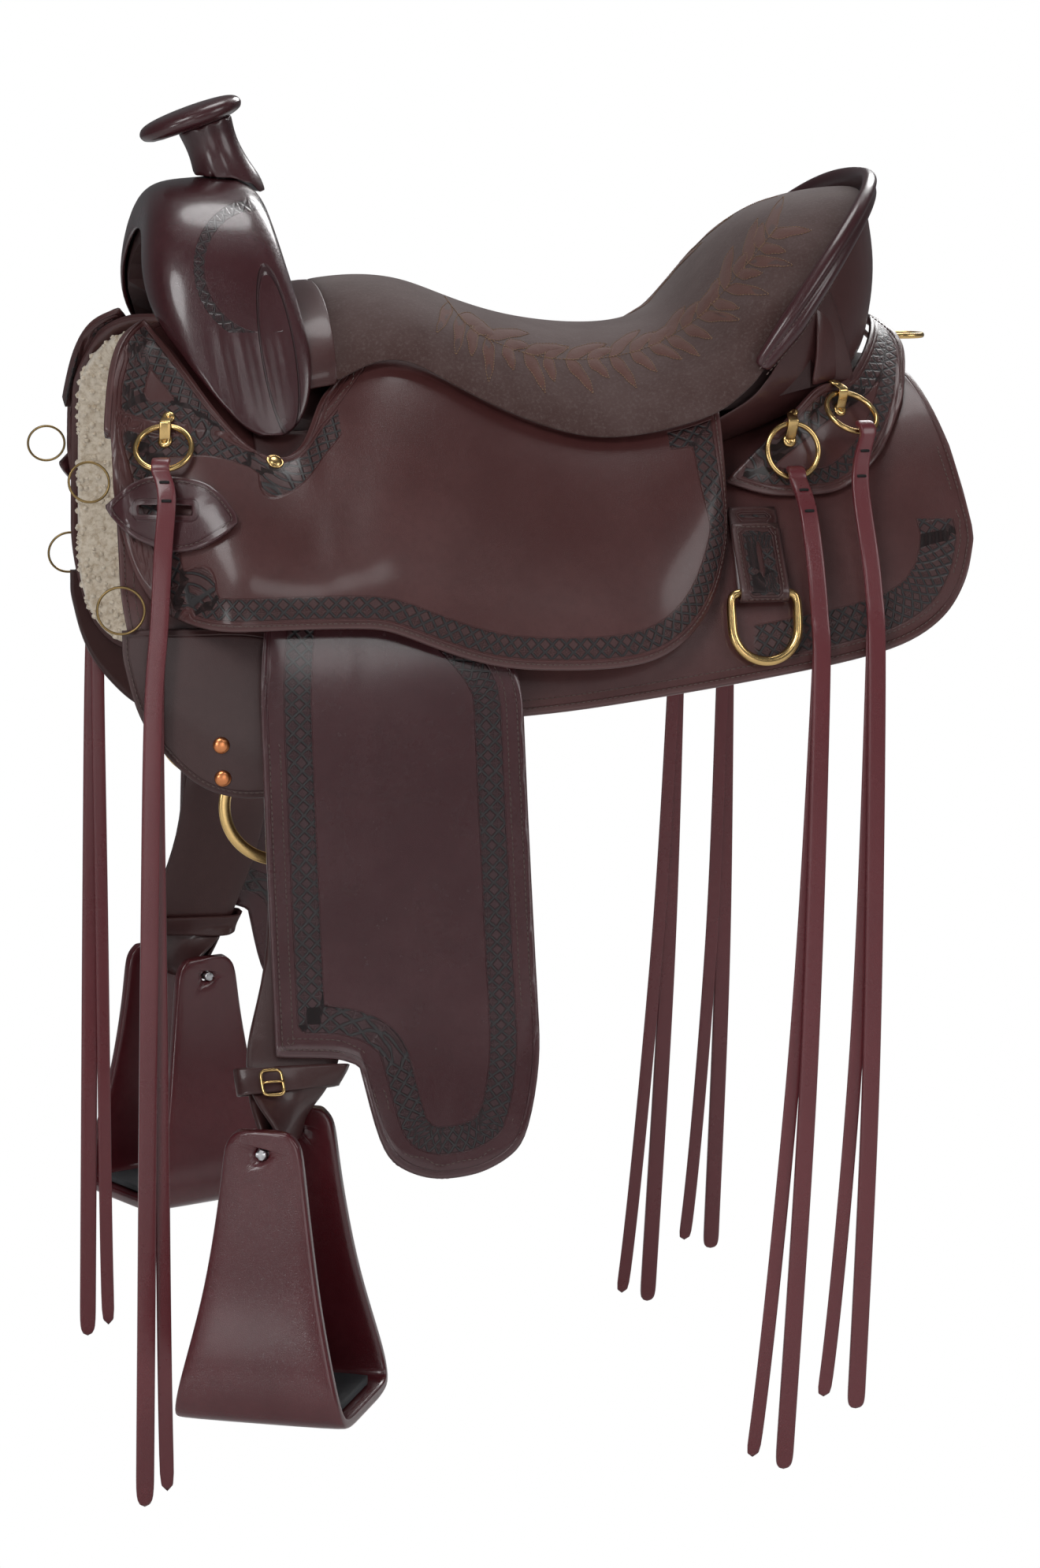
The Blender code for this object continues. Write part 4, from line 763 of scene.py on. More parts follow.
def string_line(label, side_name):
    """The middle line of a saddle string, and its half width as a vector at each point."""
    side = SIDES[side_name]
    slope, route = STRING_ROUTES[label]
    hinge = next(j for j in frame["joints"] if j["name"] == f"{label}_string_hang_{side_name}")
    bottom = Vector(hinge["pos_m"])
    line = Vector((1.0, side * slope, 0.0)).normalized()
    out = Vector((-line.y, line.x, 0.0)) * side
    turns = [math.radians(BEND_START + BEND_STEP * k) for k in range(BEND_POINTS)]
    start = [bottom + (Vector((0, 0, math.sin(turn))) - out * math.cos(turn)) * STRING_BEND for turn in turns]
    guide = [start[-1]] + [Vector((x, side * y, z)) for x, y, z in route]
    points = start[:-1] + [spline_point(guide, k / ROUTE_STEPS) for k in range(ROUTE_STEPS + 1)]
    wides = []
    for point in points:
        settle = min(max((bottom.z - point.z) / SETTLED_AFTER, 0), 1)
        settle = settle * settle * (3 - 2 * settle)
        wides.append(line.lerp(Vector((1, 0, 0)), settle) * STRING_WIDTH / 2)
    return points, wides, out


def saddle_string(label, side_name, finish):
    points, wides, out = string_line(label, side_name)
    mesh = strap(f"{label}_string", points, wides, STRING_THICKNESS)
    node = f"{label}_string_{side_name}"
    made = put(node + "_leather", mesh, finish, node + "_body", (node,))
    total = sum((b - a).length for a, b in zip(points, points[1:]))
    below = []
    for k in range(TAIL_START, len(points)):
        t = (k - TAIL_START) / (len(points) - 1 - TAIL_START)
        below.append(points[k] + Vector((TAIL_SPREAD[label] * t ** 1.6, 0.0, TAIL_DROP * t)) - out * TAIL_GAP)
    tail = strap("tail", below, wides[-1] * 0.8, TAIL_THICKNESS, levels=1)
    tail = put(node + "_tail", tail, finish, node + "_body")
    # Painted shade: each slit is a near-black tube on the string's face, standing in for the shade inside its gap.
    slits = []
    for k in SLITS_AT:
        along = (points[k + 1] - points[k - 1]).normalized()
        across = wides[k].normalized()
        face = across.cross(along).normalized()
        face = face if face.dot(out) > 0 else -face
        spot = points[k] + face * (STRING_THICKNESS / 2 + 0.0001)
        slits.append(tube([spot + across * a + face * b for a, b in SLIT_LINE], SLIT_RADIUS))
    put(node + "_slits", joined("slits", *slits), MADE["finishes"]["slit_shade"], node + "_body")


# Panels

def panel(node, finish, body="saddle", out=None, levels=2, firm=0.6, least=0.4, name=None):
    """A CAD panel made finer, with its outline measured for edge lines, stamping and stitches."""
    mesh = finer(node, levels, firm, out, least)
    loops = outlines(mesh) if out is not None else []
    if out is not None and not loops:
        raise RuntimeError(f"{node} has no outline")
    measure_rim(mesh, loops)
    ROWS[node] = (bvh_of(mesh), loops)
    return put(name or node + "_finish", mesh, finish, body, (node,))


def edge_rows(node, inset, out, keep=None):
    """Lines at an inset from a panel's longest outline, whole or where keep(point) holds."""
    tree, loops = ROWS[node]
    row = smoothed(inset_row(loops[0], tree, inset, out))
    return [(row, True)] if keep is None else [(run, False) for run in shares(row, keep)]


STITCHED_AT = {"skirt": (0.0042, 0.0105), "rigging_plate": (0.0035,), "seat_jockey": (0.0036,),
               "rear_jockey": (0.0036,), "fender": (0.0050, 0.0130), "latigo_keeper": (0.0036,),
               "rear_billet": (0.0034,)}


def sewn_panel(kind, name, finish, out, body="saddle", least=0.4, keep=None):
    """A panel with its rows of stitches, at the insets of its kind."""
    node = f"{kind}_{name}"
    panel(node, finish, body, out, least=least)
    rows = [row for inset in STITCHED_AT[kind] for row in edge_rows(node, inset, out, keep)]
    stitch(f"{node}_stitches", rows, MADE["finishes"]["thread"], body)


RIVET = [(0.02, 0.0), (1.0, 0.0), (1.0, 0.10), (0.90, 0.26), (0.66, 0.38), (0.34, 0.45), (0.05, 0.47)]
SCREW = [(0.02, -0.05), (1.0, -0.05), (1.0, 0.16), (0.88, 0.34), (0.60, 0.42), (0.36, 0.42), (0.30, 0.30),
         (0.14, 0.30), (0.02, 0.30)]
CONCHO = [(0.02, -0.03), (1.0, -0.03), (1.0, 0.08), (0.93, 0.16), (0.86, 0.12), (0.78, 0.13), (0.66, 0.26),
          (0.42, 0.36), (0.20, 0.40), (0.03, 0.41)]


def flat_out(side):
    return Vector((0.0, side, 0.0))


def sighted(node, px, py):
    """The point and the facing of a piece that the camera sees at a pixel of the picture, None where it sees none."""
    made = bpy.context.scene.camera
    turned = made.matrix_world.to_3x3()
    scale = PICTURE_HIGH * made.data.lens / SENSOR
    ray = turned @ Vector(((px - PICTURE_WIDE / 2) / scale, (PICTURE_HIGH / 2 - py) / scale, -1.0))
    return ROWS[node][0].ray_cast(made.matrix_world.translation, ray.normalized())[:2]


def other(vector, side):
    """A vector given for the left side, for this side."""
    return Vector((vector.x, -vector.y * side, vector.z))


def trim_place(node, pixel, side):
    """Where a pixel of the picture shows a piece of the left side, and its facing, both taken to this side."""
    spot, facing = sighted(node, *pixel)
    if spot is None:
        raise RuntimeError(f"{node} isn't seen at {pixel}")
    return other(spot, side), other(facing, side)


def arched(points, wide, thickness):
    """A strip bent along a smooth line through a few points."""
    line = [spline_point(points, k / STRIP_STEPS) for k in range(STRIP_STEPS + 1)]
    return strap("strip", line, wide, thickness, levels=1)


# Pieces

CANTLE_SIDE_TOP = [(0.085, 0.168, -0.016), (0.122, 0.168, -0.008), (0.158, 0.167, 0.010), (0.180, 0.165, 0.026),
                   (0.205, 0.160, 0.064), (0.236, 0.150, 0.112)]
CANTLE_SIDE_FOOT = [(0.100, 0.142, -0.026), (0.140, 0.136, -0.022), (0.175, 0.133, -0.012), (0.205, 0.130, 0.000),
                    (0.236, 0.128, 0.012), (0.270, 0.120, 0.026)]
CANTLE_SIDE_STEPS, CANTLE_SIDE_BULGE = 12, Vector((0.0, 0.004, 0.0))
APRON_STEPS = 20
CLOSING_THICK = 0.0022


def apron(s, across):
    """A point of the leather between the seat's front edge and the swell, s from 0 at the seat to 1."""
    turn = across * math.pi / 2
    fall = 1 - math.cos(turn)
    return Vector((-0.146 - 0.034 * s, (0.145 + 0.001 * s) * math.sin(turn), 0.1045 - 0.074 * fall - 0.006 * s * s))


def patch(rows):
    """A skin over rows of points."""
    bm = bmesh.new()
    grid = [[bm.verts.new(point) for point in row] for row in rows]
    for row, following in zip(grid, grid[1:]):
        for k in range(len(row) - 1):
            bm.faces.new((row[k], row[k + 1], following[k + 1], following[k]))
    bmesh.ops.recalc_face_normals(bm, faces=bm.faces[:])
    return bm


def closing(name, rows, levels, finish):
    """A leather over rows of points that closes an opening beside the seat."""
    mesh = modified(name, mesh_of(patch(rows), name), ("SOLIDIFY", {"thickness": CLOSING_THICK, "offset": 0.0}),
                    divided(levels))
    put(name, mesh, finish)


def make_tree(f):
    """The tree keeps its CAD shape, under a dark leather cover, and leather closes the seat's sides."""
    for node in ("tree_fork", "tree_bar_left", "tree_bar_right", "tree_cantle", "ground_seat", "horn_post"):
        frame["nodes"][node].material_slots[0].material = f["cover"]
    for name, side in SIDES.items():
        rows = [[apron(s, k * side / APRON_STEPS) for s in (0.0, 0.5, 1.0)] for k in range(APRON_STEPS + 1)]
        closing(f"seat_apron_{name}", rows, 1, f["closing"])
        rows = []
        for k in range(CANTLE_SIDE_STEPS + 1):
            top, foot = (spline_point(line, k / CANTLE_SIDE_STEPS) for line in (CANTLE_SIDE_TOP, CANTLE_SIDE_FOOT))
            middle = (top + foot) / 2 + CANTLE_SIDE_BULGE
            rows.append([Vector((p.x, p.y * side, p.z)) for p in (top, middle, foot)])
        closing(f"cantle_side_{name}", rows, 2, f["closing"])


SKIRT_SEWN_BELOW = -0.02


def make_skirts(f):
    for name, side in SIDES.items():
        out = Vector((0.0, side, 0.5)).normalized()
        sewn_panel("skirt", name, f["skirt"], out, least=0.35,
                   keep=lambda point: point.z < SKIRT_SEWN_BELOW)
        sewn_panel("rigging_plate", name, f["strap"], out)


def make_jockeys(f):
    for name, side in SIDES.items():
        out = Vector((0.0, side, 0.6)).normalized()
        for kind, finish in (("seat_jockey", "jockey"), ("rear_jockey", "rear_jockey")):
            sewn_panel(kind, name, f[finish], out, least=0.35)


def make_swell(f):
    panel("swell_cover", f["swell"], firm=0.35)
    panel("horn_neck", f["wrap"], firm=0.3)
    panel("horn_cap", f["cap"], firm=0.3)
    panel("cantle_back", f["plain"], firm=0.5)
    panel("crupper_strap", f["plain"], firm=0.5)
    make_binding(f)


def rim_point(across):
    """A point on the seat's rear rim, from -1 at the left to 1."""
    turn = across * math.pi / 2
    fall = 1 - math.cos(turn)
    return Vector((0.298 - 0.123 * fall, 0.170 * math.sin(turn), 0.178 - 0.148 * fall ** 1.25))


BINDING_RINGS, BINDING_REACH, BINDING_THREAD = 80, 0.97, 0.0011
BINDING_UP, BINDING_OUT = 0.0072, 0.003
BINDING_SEAMS = ((4.75, -2.8), (1.6, -15.6))
ROLL = [(-5.0, 2.0), (-3.5, 6.0), (0.5, 7.2), (4.6, 6.0), (6.8, 3.0), (6.9, 0.4), (5.0, -2.0), (4.9, -3.6),
        (6.7, -5.6), (6.6, -8.6), (5.2, -12.0), (3.0, -14.6), (0.8, -15.4), (-1.6, -13.5), (-2.4, -8.0), (-4.6, -3.0)]


def make_binding(f):
    """A roll with two ridges sewn over the cantle's rim."""
    rings, rows = [], ([], [])
    for k in range(BINDING_RINGS + 1):
        share = BINDING_REACH * (2 * k / BINDING_RINGS - 1)
        along = (rim_point(share + 0.01) - rim_point(share - 0.01)).normalized()
        out = Vector((along.y, -along.x, 0.0)).normalized()
        up = out.cross(along).normalized()
        up = up if up.z > 0 else -up
        middle = rim_point(share) + up * BINDING_UP + out * BINDING_OUT
        size = min(1.0, 0.62 + min(k, BINDING_RINGS - k) * 0.08) * MILLIMETRE
        rings.append([middle + (out * a + up * b) * size for a, b in ROLL])
        for row, (a, b) in zip(rows, BINDING_SEAMS):
            row.append(middle + (out * a + up * b) * size)
    mesh = modified("binding", mesh_of(loft(rings), "binding"), divided(1))
    measure_rim(mesh, [])
    put("cantle_binding_finish", mesh, f["binding"], "saddle", ("cantle_binding",))
    stitch("cantle_binding_stitches", [(row, False) for row in rows], f["thread"], thread_size=BINDING_THREAD)


def make_hanging(f):
    for name, side in SIDES.items():
        body = f"hanging_{name}"
        sewn_panel("fender", name, f["fender"], flat_out(side), body, 0.5)
        for kind in ("stirrup_leather", "hobble_strap"):
            panel(f"{kind}_{name}", f["strap"], body, firm=0.7)


def make_keepers(f):
    for name, side in SIDES.items():
        sewn_panel("latigo_keeper", name, f["keeper"], flat_out(side))
        sewn_panel("rear_billet", name, f["billet"], flat_out(side), least=0.45)


def make_stirrups(f):
    for name in SIDES:
        body = f"stirrup_{name}_body"
        panel(f"stirrup_{name}", f["stirrup"], body, firm=0.2)
        panel(f"stirrup_tread_{name}", f["tread"], body, levels=3, firm=0.8)
        panel(f"stirrup_bolt_{name}", f["steel"], body, firm=0.6)


RINGS = ("front_string_ring", "rear_low_string_ring", "rear_high_string_ring", "upper_breast_ring",
         "lower_breast_ring", "cinch_ring", "rear_dee")


def make_metal(f):
    for name in SIDES:
        for kind in RINGS:
            node = f"{kind}_{name}"
            finish = f["bronze"] if "breast" in kind else f["brass"]
            panel(node, finish, node + "_body", firm=0.0)
    panel("crupper_dee", f["brass"], "crupper_dee_body", firm=0.0)


LEAF_POINTS, LEAF_WIDTH, LEAF_BEND, LEAF_WAVE = 12, 15, 0.22, 0.18
LEAF_REACH, LEAF_REACH_SPREAD, LEAF_TURN, LEAF_TURN_SPREAD = 44, 12, 38, 8


def leaf(start, ahead, reach):
    """The outline of a leaf in picture pixels, up one side and down the other."""
    turned = Vector((-ahead.y, ahead.x))
    shape = []
    for k in range(2 * LEAF_POINTS + 1):
        way = 1 if k <= LEAF_POINTS else -1
        t = (k if way == 1 else 2 * LEAF_POINTS - k) / LEAF_POINTS
        bend = LEAF_BEND * reach * t * t
        wide = LEAF_WIDTH * math.sin(math.pi * t ** 0.8) * (1 + LEAF_WAVE * math.sin(9 * t))
        shape.append(start + ahead * (reach * t) + turned * (way * wide / 2 + bend))
    return shape[:-1]


STEM = [(560, 372), (610, 425), (700, 455), (800, 448), (880, 408), (940, 345), (985, 290)]
STEM_STEPS, SPRAY_PITCH, SPRAY_THREAD = 44, 0.0030, 0.0008
INLAY_LIFT, SEAM_LIFT, STEM_LIFT, INLAY_HEIGHT = 0.0001, 0.0003, 0.0004, 0.0009


def inlay(bm, shape, side):
    """Adds a leaf to an inlay and returns its seam, or None where the camera doesn't see all of it."""
    found = [sighted("seat_pad", *point) for point in shape]
    if any(spot is None for spot, _facing in found):
        return None
    edge = [bm.verts.new(other(spot + facing * INLAY_LIFT, side)) for spot, facing in found]
    up = other(found[-1][1], side)
    middle = sum((v.co for v in edge), Vector()) / len(edge)
    ridge = [bm.verts.new(v.co.lerp(middle, 0.35) + up * INLAY_HEIGHT) for v in edge]
    for k in range(len(edge)):
        after = (k + 1) % len(edge)
        bm.faces.new((edge[k], edge[after], ridge[after], ridge[k]))
    bm.faces.new(ridge)
    return [other(spot + facing * SEAM_LIFT, side) for spot, facing in found]


def make_sprays(f):
    """Leaf sprays inlaid and sewn on the seat."""
    leaves, rows = [], []
    guide = [(x, y, 0) for x, y in STEM]
    stem = [spline_point(guide, k / STEM_STEPS).to_2d() for k in range(STEM_STEPS + 1)]
    for k in range(2, STEM_STEPS - 1, 2):
        ahead = (stem[k + 1] - stem[k - 1]).normalized()
        for way in (-1, 1):
            turn = math.radians(way * (LEAF_TURN + LEAF_TURN_SPREAD * math.sin(k)))
            facing = Vector((ahead.x * math.cos(turn) - ahead.y * math.sin(turn),
                             ahead.x * math.sin(turn) + ahead.y * math.cos(turn)))
            leaves.append(leaf(stem[k], facing, LEAF_REACH + LEAF_REACH_SPREAD * math.sin(k * 1.7)))
    for name, side in SIDES.items():
        inlays = bmesh.new()
        seams = [inlay(inlays, shape, side) for shape in leaves]
        rows += [(seam, True) for seam in seams if seam]
        bmesh.ops.recalc_face_normals(inlays, faces=inlays.faces[:])
        put(f"seat_leaves_{name}", mesh_of(inlays, "leaves"), f["leaf"], "saddle")
    for side in SIDES.values():
        found = [sighted("seat_pad", *point) for point in stem]
        rows.append(([other(spot + facing * STEM_LIFT, side) for spot, facing in found if spot is not None],
                     False))
    stitch("seat_leaf_stitches", rows, f["tan"], pitch=SPRAY_PITCH, thread_size=SPRAY_THREAD)


def make_seat(f):
    made = panel("seat_pad", f["suede"], out=Vector((0, 0, 1)), levels=3, firm=0.35, least=0.45,
                 name="seat_cushion")
    make_sprays(f)


def tuft_tree():
    """Tufts strewn over a skin."""
    wires = Wiring("tufts", density=("Density", "Float", 20000.0), size=("Size", "Float", 0.005),
                   finish=("Finish", "Material", None))
    given = wires.given
    strewn = wires.node("GeometryNodeDistributePointsOnFaces", {}, {
        "Seed": 5, "Mesh": given["Geometry"], "Density": given["Density"]})
    ball = wires.node("GeometryNodeMeshIcoSphere", {}, {"Subdivisions": 1, "Radius": 0.5})
    chance = wires.node("FunctionNodeRandomValue", {"data_type": "FLOAT"}, {2: 0.6, 3: 1.25, "Seed": 9})
    spread = wires.node("GeometryNodeInstanceOnPoints", {}, {
        "Points": strewn.outputs["Points"], "Rotation": strewn.outputs["Rotation"], "Instance": ball.outputs["Mesh"],
        "Scale": wires.product(chance.outputs[1], given["Size"])})
    real = wires.node("GeometryNodeRealizeInstances", {}, {0: spread.outputs[0]})
    whole = wires.node("GeometryNodeJoinGeometry", {}, {0: real.outputs[0]})
    wires.feed(whole.inputs[0], given["Geometry"])
    return wires.painted(whole.outputs[0])


def make_fleece(f):
    look = bpy.context.scene.saddle_fleece
    tree, keys = tuft_tree()
    for name in SIDES:
        node = f"fleece_lining_{name}"
        mesh = finer(node, 2, 0.2)
        area = sum(face.area for face in mesh.polygons)
        holder = placed(node + "_skin", mesh)
        mesh = through_tree(holder, tree, {keys["density"]: look.tufts / area, keys["size"]: look.tuft,
                                           keys["finish"]: f["wool"]})
        put(node + "_wool", mesh, f["wool"], "saddle", (node,))


CLIPS = {"front": "seat_jockey", "rear_low": "rear_jockey", "rear_high": "rear_jockey"}
CLIP_HALF_WIDTH, CLIP_THICKNESS, CLIP_SCREWS = 0.0042, 0.0013, (0.0050, 0.0056)
CLIP_ABOVE, CLIP_BELOW = Vector((0.0, 0.0, 0.012)), Vector((0.0, 0.0, -0.013))
CLIP_RISE = Vector((0.0, 0.0, 0.0035))
CONCHO_AT, CONCHO_SIZE, CONCHO_SIDES = (349, 586), 0.0068, 32
RIVETS_AT, RIVET_SIZE = ((281, 946), (283, 988)), 0.0064
BUCKLE_AT, BUCKLE_HALF, BUCKLE_SQUARE = (345, 1375), (0.0080, 0.0100), 0.45
BUCKLE_POINTS, BUCKLE_WIRE, TONGUE_WIRE = 32, 0.0013, 0.0010
TONGUE_LINE = ((-0.008, 0), (-0.003, 0.0016), (0.003, 0.0016), (0.0092, 0.0004))


def ring_clip(label, node, name, side):
    """The strip that holds a string ring at its hinge, and its two screws."""
    joint = next(j for j in frame["joints"] if j["name"] == f"{label}_string_ring_lift_{name}")
    top, line = Vector(joint["pos_m"]), Vector(joint["axis"])
    out = Vector((-line.y, line.x, 0.0))
    out = out if out.y * side > 0 else -out
    head, above, *_rest = ROWS[node][0].find_nearest(top + CLIP_ABOVE)
    foot, below, *_rest = ROWS[node][0].find_nearest(top + CLIP_BELOW)
    guide = [head + above * 0.0012, top + out * 0.0030 + CLIP_RISE, top + out * 0.0046, foot + below * 0.0014]
    strip = arched(guide, line.normalized() * CLIP_HALF_WIDTH, CLIP_THICKNESS)
    return strip, [(head, above, CLIP_SCREWS[0]), (foot, below, CLIP_SCREWS[1])]


def make_trim(f):
    """Clips, screws, rivets, conchos and buckles."""
    for name, side in SIDES.items():
        strips, screws = zip(*(ring_clip(label, f"{kind}_{name}", name, side) for label, kind in CLIPS.items()))
        put(f"ring_clips_{name}", joined("clips", *strips), f["brass"])
        heads(f"ring_screws_{name}", [screw for pair in screws for screw in pair], SCREW, f["brass"])
        concho = (*trim_place("seat_jockey_left", CONCHO_AT, side), CONCHO_SIZE)
        heads(f"jockey_concho_{name}", [concho], CONCHO, f["brass"], CONCHO_SIDES)
        rivets = [(*trim_place("rigging_plate_left", pixel, side), RIVET_SIZE) for pixel in RIVETS_AT]
        heads(f"rigging_rivets_{name}", rivets, RIVET, f["copper"])
        buckle(f"hobble_buckle_{name}", *trim_place("hobble_strap_left", BUCKLE_AT, side), f["brass"],
               f"hanging_{name}")


def buckle(name, spot, facing, finish, body):
    """A square wire buckle with its tongue."""
    along = Vector((0, 0, 1)).cross(facing).normalized()
    up = facing.cross(along).normalized()
    middle = spot + facing * 0.0018
    frame_line = []
    for k in range(BUCKLE_POINTS):
        turn = 2 * math.pi * k / BUCKLE_POINTS
        reaches = [half * math.copysign(abs(c) ** BUCKLE_SQUARE, c)
                   for half, c in zip(BUCKLE_HALF, (math.cos(turn), math.sin(turn)))]
        frame_line.append(middle + along * reaches[0] + up * reaches[1])
    tongue = tube([middle + along * a + facing * b for a, b in TONGUE_LINE], TONGUE_WIRE)
    put(name, joined(name, tube(frame_line, BUCKLE_WIRE, True), tongue), finish, body)


def make_strings(f):
    for name in SIDES:
        for label in STRING_ROUTES:
            saddle_string(label, name, f["string"])


CAMERA_AT, CAMERA_AZIMUTH, CAMERA_ELEVATION = (-0.63529, -3.38370, 0.24087), math.radians(-11.0), math.radians(9.0)
FLOOR_HEIGHT, FLOOR_HALF = -0.834, 6
ROOM_COLOUR, ROOM_STRENGTH = (0.80, 0.82, 0.85, 1), 0.14
LAMPS = {
    "key": ((-1.9, -2.6, 2.4), (0, 0, -0.1), 1.6, 56),
    "side": ((2.6, -2.2, 1.2), (0, 0, -0.2), 1.6, 26),
    "top": ((0.2, 0.6, 2.8), (0, 0, 0), 1.4, 30),
    "panel": ((-2.5, -2.8, -0.05), (-0.2, -0.3, -0.55), 0.8, 15),
    "front": ((0.30, -3.0, 1.25), (-0.1, -0.2, -0.2), 0.6, 4.5),
    "back": ((1.6, 2.4, 1.8), (0, 0, -0.1), 1.4, 42),
    "low": ((-0.4, -3.2, -0.3), (0, 0, -0.5), 1.2, 7),
}


def camera(look):
    data = bpy.data.cameras.new("camera")
    data.lens = look.lens
    data.clip_start, data.clip_end = 0.1, 60
    made = placed("camera", data)
    level = math.cos(CAMERA_ELEVATION)
    ahead = Vector((-math.sin(CAMERA_AZIMUTH) * level, math.cos(CAMERA_AZIMUTH) * level, -math.sin(CAMERA_ELEVATION)))
    made.location = CAMERA_AT
    made.rotation_euler = ahead.to_track_quat("-Z", "Y").to_euler()
    bpy.context.scene.camera = made


def lamp(name, spot, aim, size, power):
    """A round lamp at a spot that faces its aim."""
    data = bpy.data.lights.new(name, "AREA")
    data.shape, data.size, data.energy = "DISK", size, power
    made = placed(name, data)
    made.location = spot
    made.rotation_euler = (Vector(aim) - Vector(spot)).to_track_quat("-Z", "Y").to_euler()
    return made


def seen_white(tree, plain, white, end):
    """Shows the camera the white shader, and everything else the plain one."""
    path, both = tree.nodes.new("ShaderNodeLightPath"), tree.nodes.new("ShaderNodeMixShader")
    for source, target in ((path.outputs["Is Camera Ray"], both.inputs[0]), (plain.outputs[0], both.inputs[1]),
                           (white.outputs[0], both.inputs[2]), (both.outputs[0], tree.nodes[end].inputs["Surface"])):
        tree.links.new(source, target)


def make_stage():
    scene = bpy.context.scene
    look = scene.saddle_stage
    camera(look)
    scene.view_settings.view_transform = "Standard"
    world = bpy.data.worlds.new("room")
    scene.world = world
    world.use_nodes = True
    room = world.node_tree.nodes["Background"]
    room.inputs["Color"].default_value = ROOM_COLOUR
    room.inputs["Strength"].default_value = ROOM_STRENGTH * look.level
    white = world.node_tree.nodes.new("ShaderNodeBackground")
    white.inputs["Color"].default_value = (1, 1, 1, 1)
    seen_white(world.node_tree, room, white, "World Output")
    finish = Finish("floor")
    finish.set(base_color=tuple(look.floor), roughness=0.7)
    seen_white(finish.tree, finish.shader, finish.tree.nodes.new("ShaderNodeEmission"), "Material Output")
    bm = bmesh.new()
    bmesh.ops.create_grid(bm, x_segments=2, y_segments=2, size=FLOOR_HALF)
    floor = placed("floor", mesh_of(bm, "floor"))
    floor.data.materials.append(finish.material)
    floor.location.z = FLOOR_HEIGHT
    lamps = [lamp(name, spot, aim, size, power * look.level) for name, (spot, aim, size, power) in LAMPS.items()]


# Finishes

def finishes():
    scene = bpy.context.scene
    hide, metals = scene.saddle_leather, scene.saddle_metal
    smooth, glossy = tuple(hide.smooth), tuple(hide.glossy)

    def corner(finish):
        x, _y, z = finish.axes()
        return x.ramp(0.16, 0.165) * z.below(-0.075)

    def below_seat(finish):
        x, _y, z = finish.axes()
        return 1 - x.above(-0.150) * x.below(0.105) * z.above(-0.045)

    def swell_marks(finish):
        """A stamped band that bows round the swell, and the pleats below it."""
        x, y, z = finish.axes()
        across, up = x + 0.2005, z - 0.116
        radius = (across * across + up * up).power(0.5)
        turn = up.maths("ARCTAN2", up, across)
        band = radius.band(*SWELL_BAND, SOFT) * across.below(0.012) * up.above(-0.045) * y.size().above(0.03)
        links = diamonds(turn * 0.049, radius - SWELL_BAND[0], SWELL_BAND_STAMP)
        folds = ((x + z * 0.16) * (2 * math.pi / PLEAT_WIDTH)).sine()
        field = z.band(0.004, 0.070, 0.016) * x.band(-0.243, -0.188, 0.010) * y.size().above(0.09)
        tear_x, tear_z = (x + 0.199 + (z - 0.119) * 0.10) / 0.013, (z - 0.056) / 0.062
        tear = (tear_x * tear_x + tear_z * tear_z).power(0.5)
        seam = tear.band(0.95, 1.05, 0.03) * y.size().above(0.09)
        height = band * (links * 0.9 - 0.5) + folds * field * PLEAT_DEPTH - seam * SEAM_DEPTH
        return height, band * (1 - links * 0.5) * 0.8 + seam * 0.4

    return {
        "skirt": leather("skirt leather", smooth, 0.34, 0.30, band=(0.0135, 0.0400), where=corner),
        "jockey": leather("jockey leather", smooth, 0.34, 0.30, band=(0.0075, 0.0235), where=below_seat),
        "rear_jockey": leather("rear jockey leather", smooth, 0.34, 0.30, band=(0.0075, 0.0200)),
        "plain": leather("plain leather", smooth, 0.36, 0.30),
        "strap": leather("strap leather", darker(smooth, 0.62), 0.38, 0.22),
        "billet": leather("billet leather", darker(smooth, 0.72), 0.36, 0.25, band=(0.0068, 0.0160)),
        "keeper": leather("keeper leather", glossy, 0.26, 0.5),
        "fender": leather("fender leather", glossy, 0.24, 0.55, band=(0.0175, 0.0370)),
        "swell": leather("swell leather", glossy, 0.22, 0.6, pleats=swell_marks, edged=False),
        "wrap": leather("horn wrap", glossy, 0.26, 0.5, edged=False),
        "cap": leather("horn cap leather", glossy, 0.24, 0.55, edged=False),
        "binding": leather("binding leather", glossy, 0.28, 0.45, edged=False),
        "cover": leather("tree cover", darker(smooth, 0.45), 0.5, 0.1, edged=False),
        "closing": leather("closing leather", darker(smooth, 0.8), 0.38, 0.25, edged=False),
        "leaf": suede("leaf inlay", tuple(scene.saddle_seat.leaf)),
        "string": leather("string leather", tuple(hide.oxblood), 0.26, 0.4),
        "stirrup": leather("stirrup leather", tuple(hide.stirrup), 0.20, 0.65),
        "tread": leather("tread leather", (0.046, 0.049, 0.054), 0.62, 0.0),
        "thread": thread("edge thread", tuple(scene.saddle_stitches.thread)),
        "tan": thread("tan thread", tuple(scene.saddle_stitches.tan)),
        "brass": metal("brass", tuple(metals.brass), 0.20),
        "bronze": metal("dark bronze", darker(tuple(metals.brass), 0.42), 0.34),
        "copper": metal("copper", tuple(metals.copper), 0.24),
        "steel": metal("steel", tuple(metals.steel), 0.26),
        "suede": suede("seat suede", tuple(scene.saddle_seat.suede)),
        "wool": wool("fleece wool", tuple(scene.saddle_fleece.wool)),
        # Near-black finish of the string slits, painted shade for their gaps.
        "slit_shade": Finish("painted slit shade").set(base_color=(0.004, 0.003, 0.003), roughness=0.8),
    }


# Operators

class SADDLE_OT_finishes(bpy.types.Operator):
    """Leather, suede, wool, thread and metal"""
    bl_idname = "saddle.finishes"
    bl_label = "Finishes"

    def execute(self, context):
        MADE.update(finishes=finishes(), stitch_tree=stitch_tree(), head_tree=head_tree())
        return {"FINISHED"}


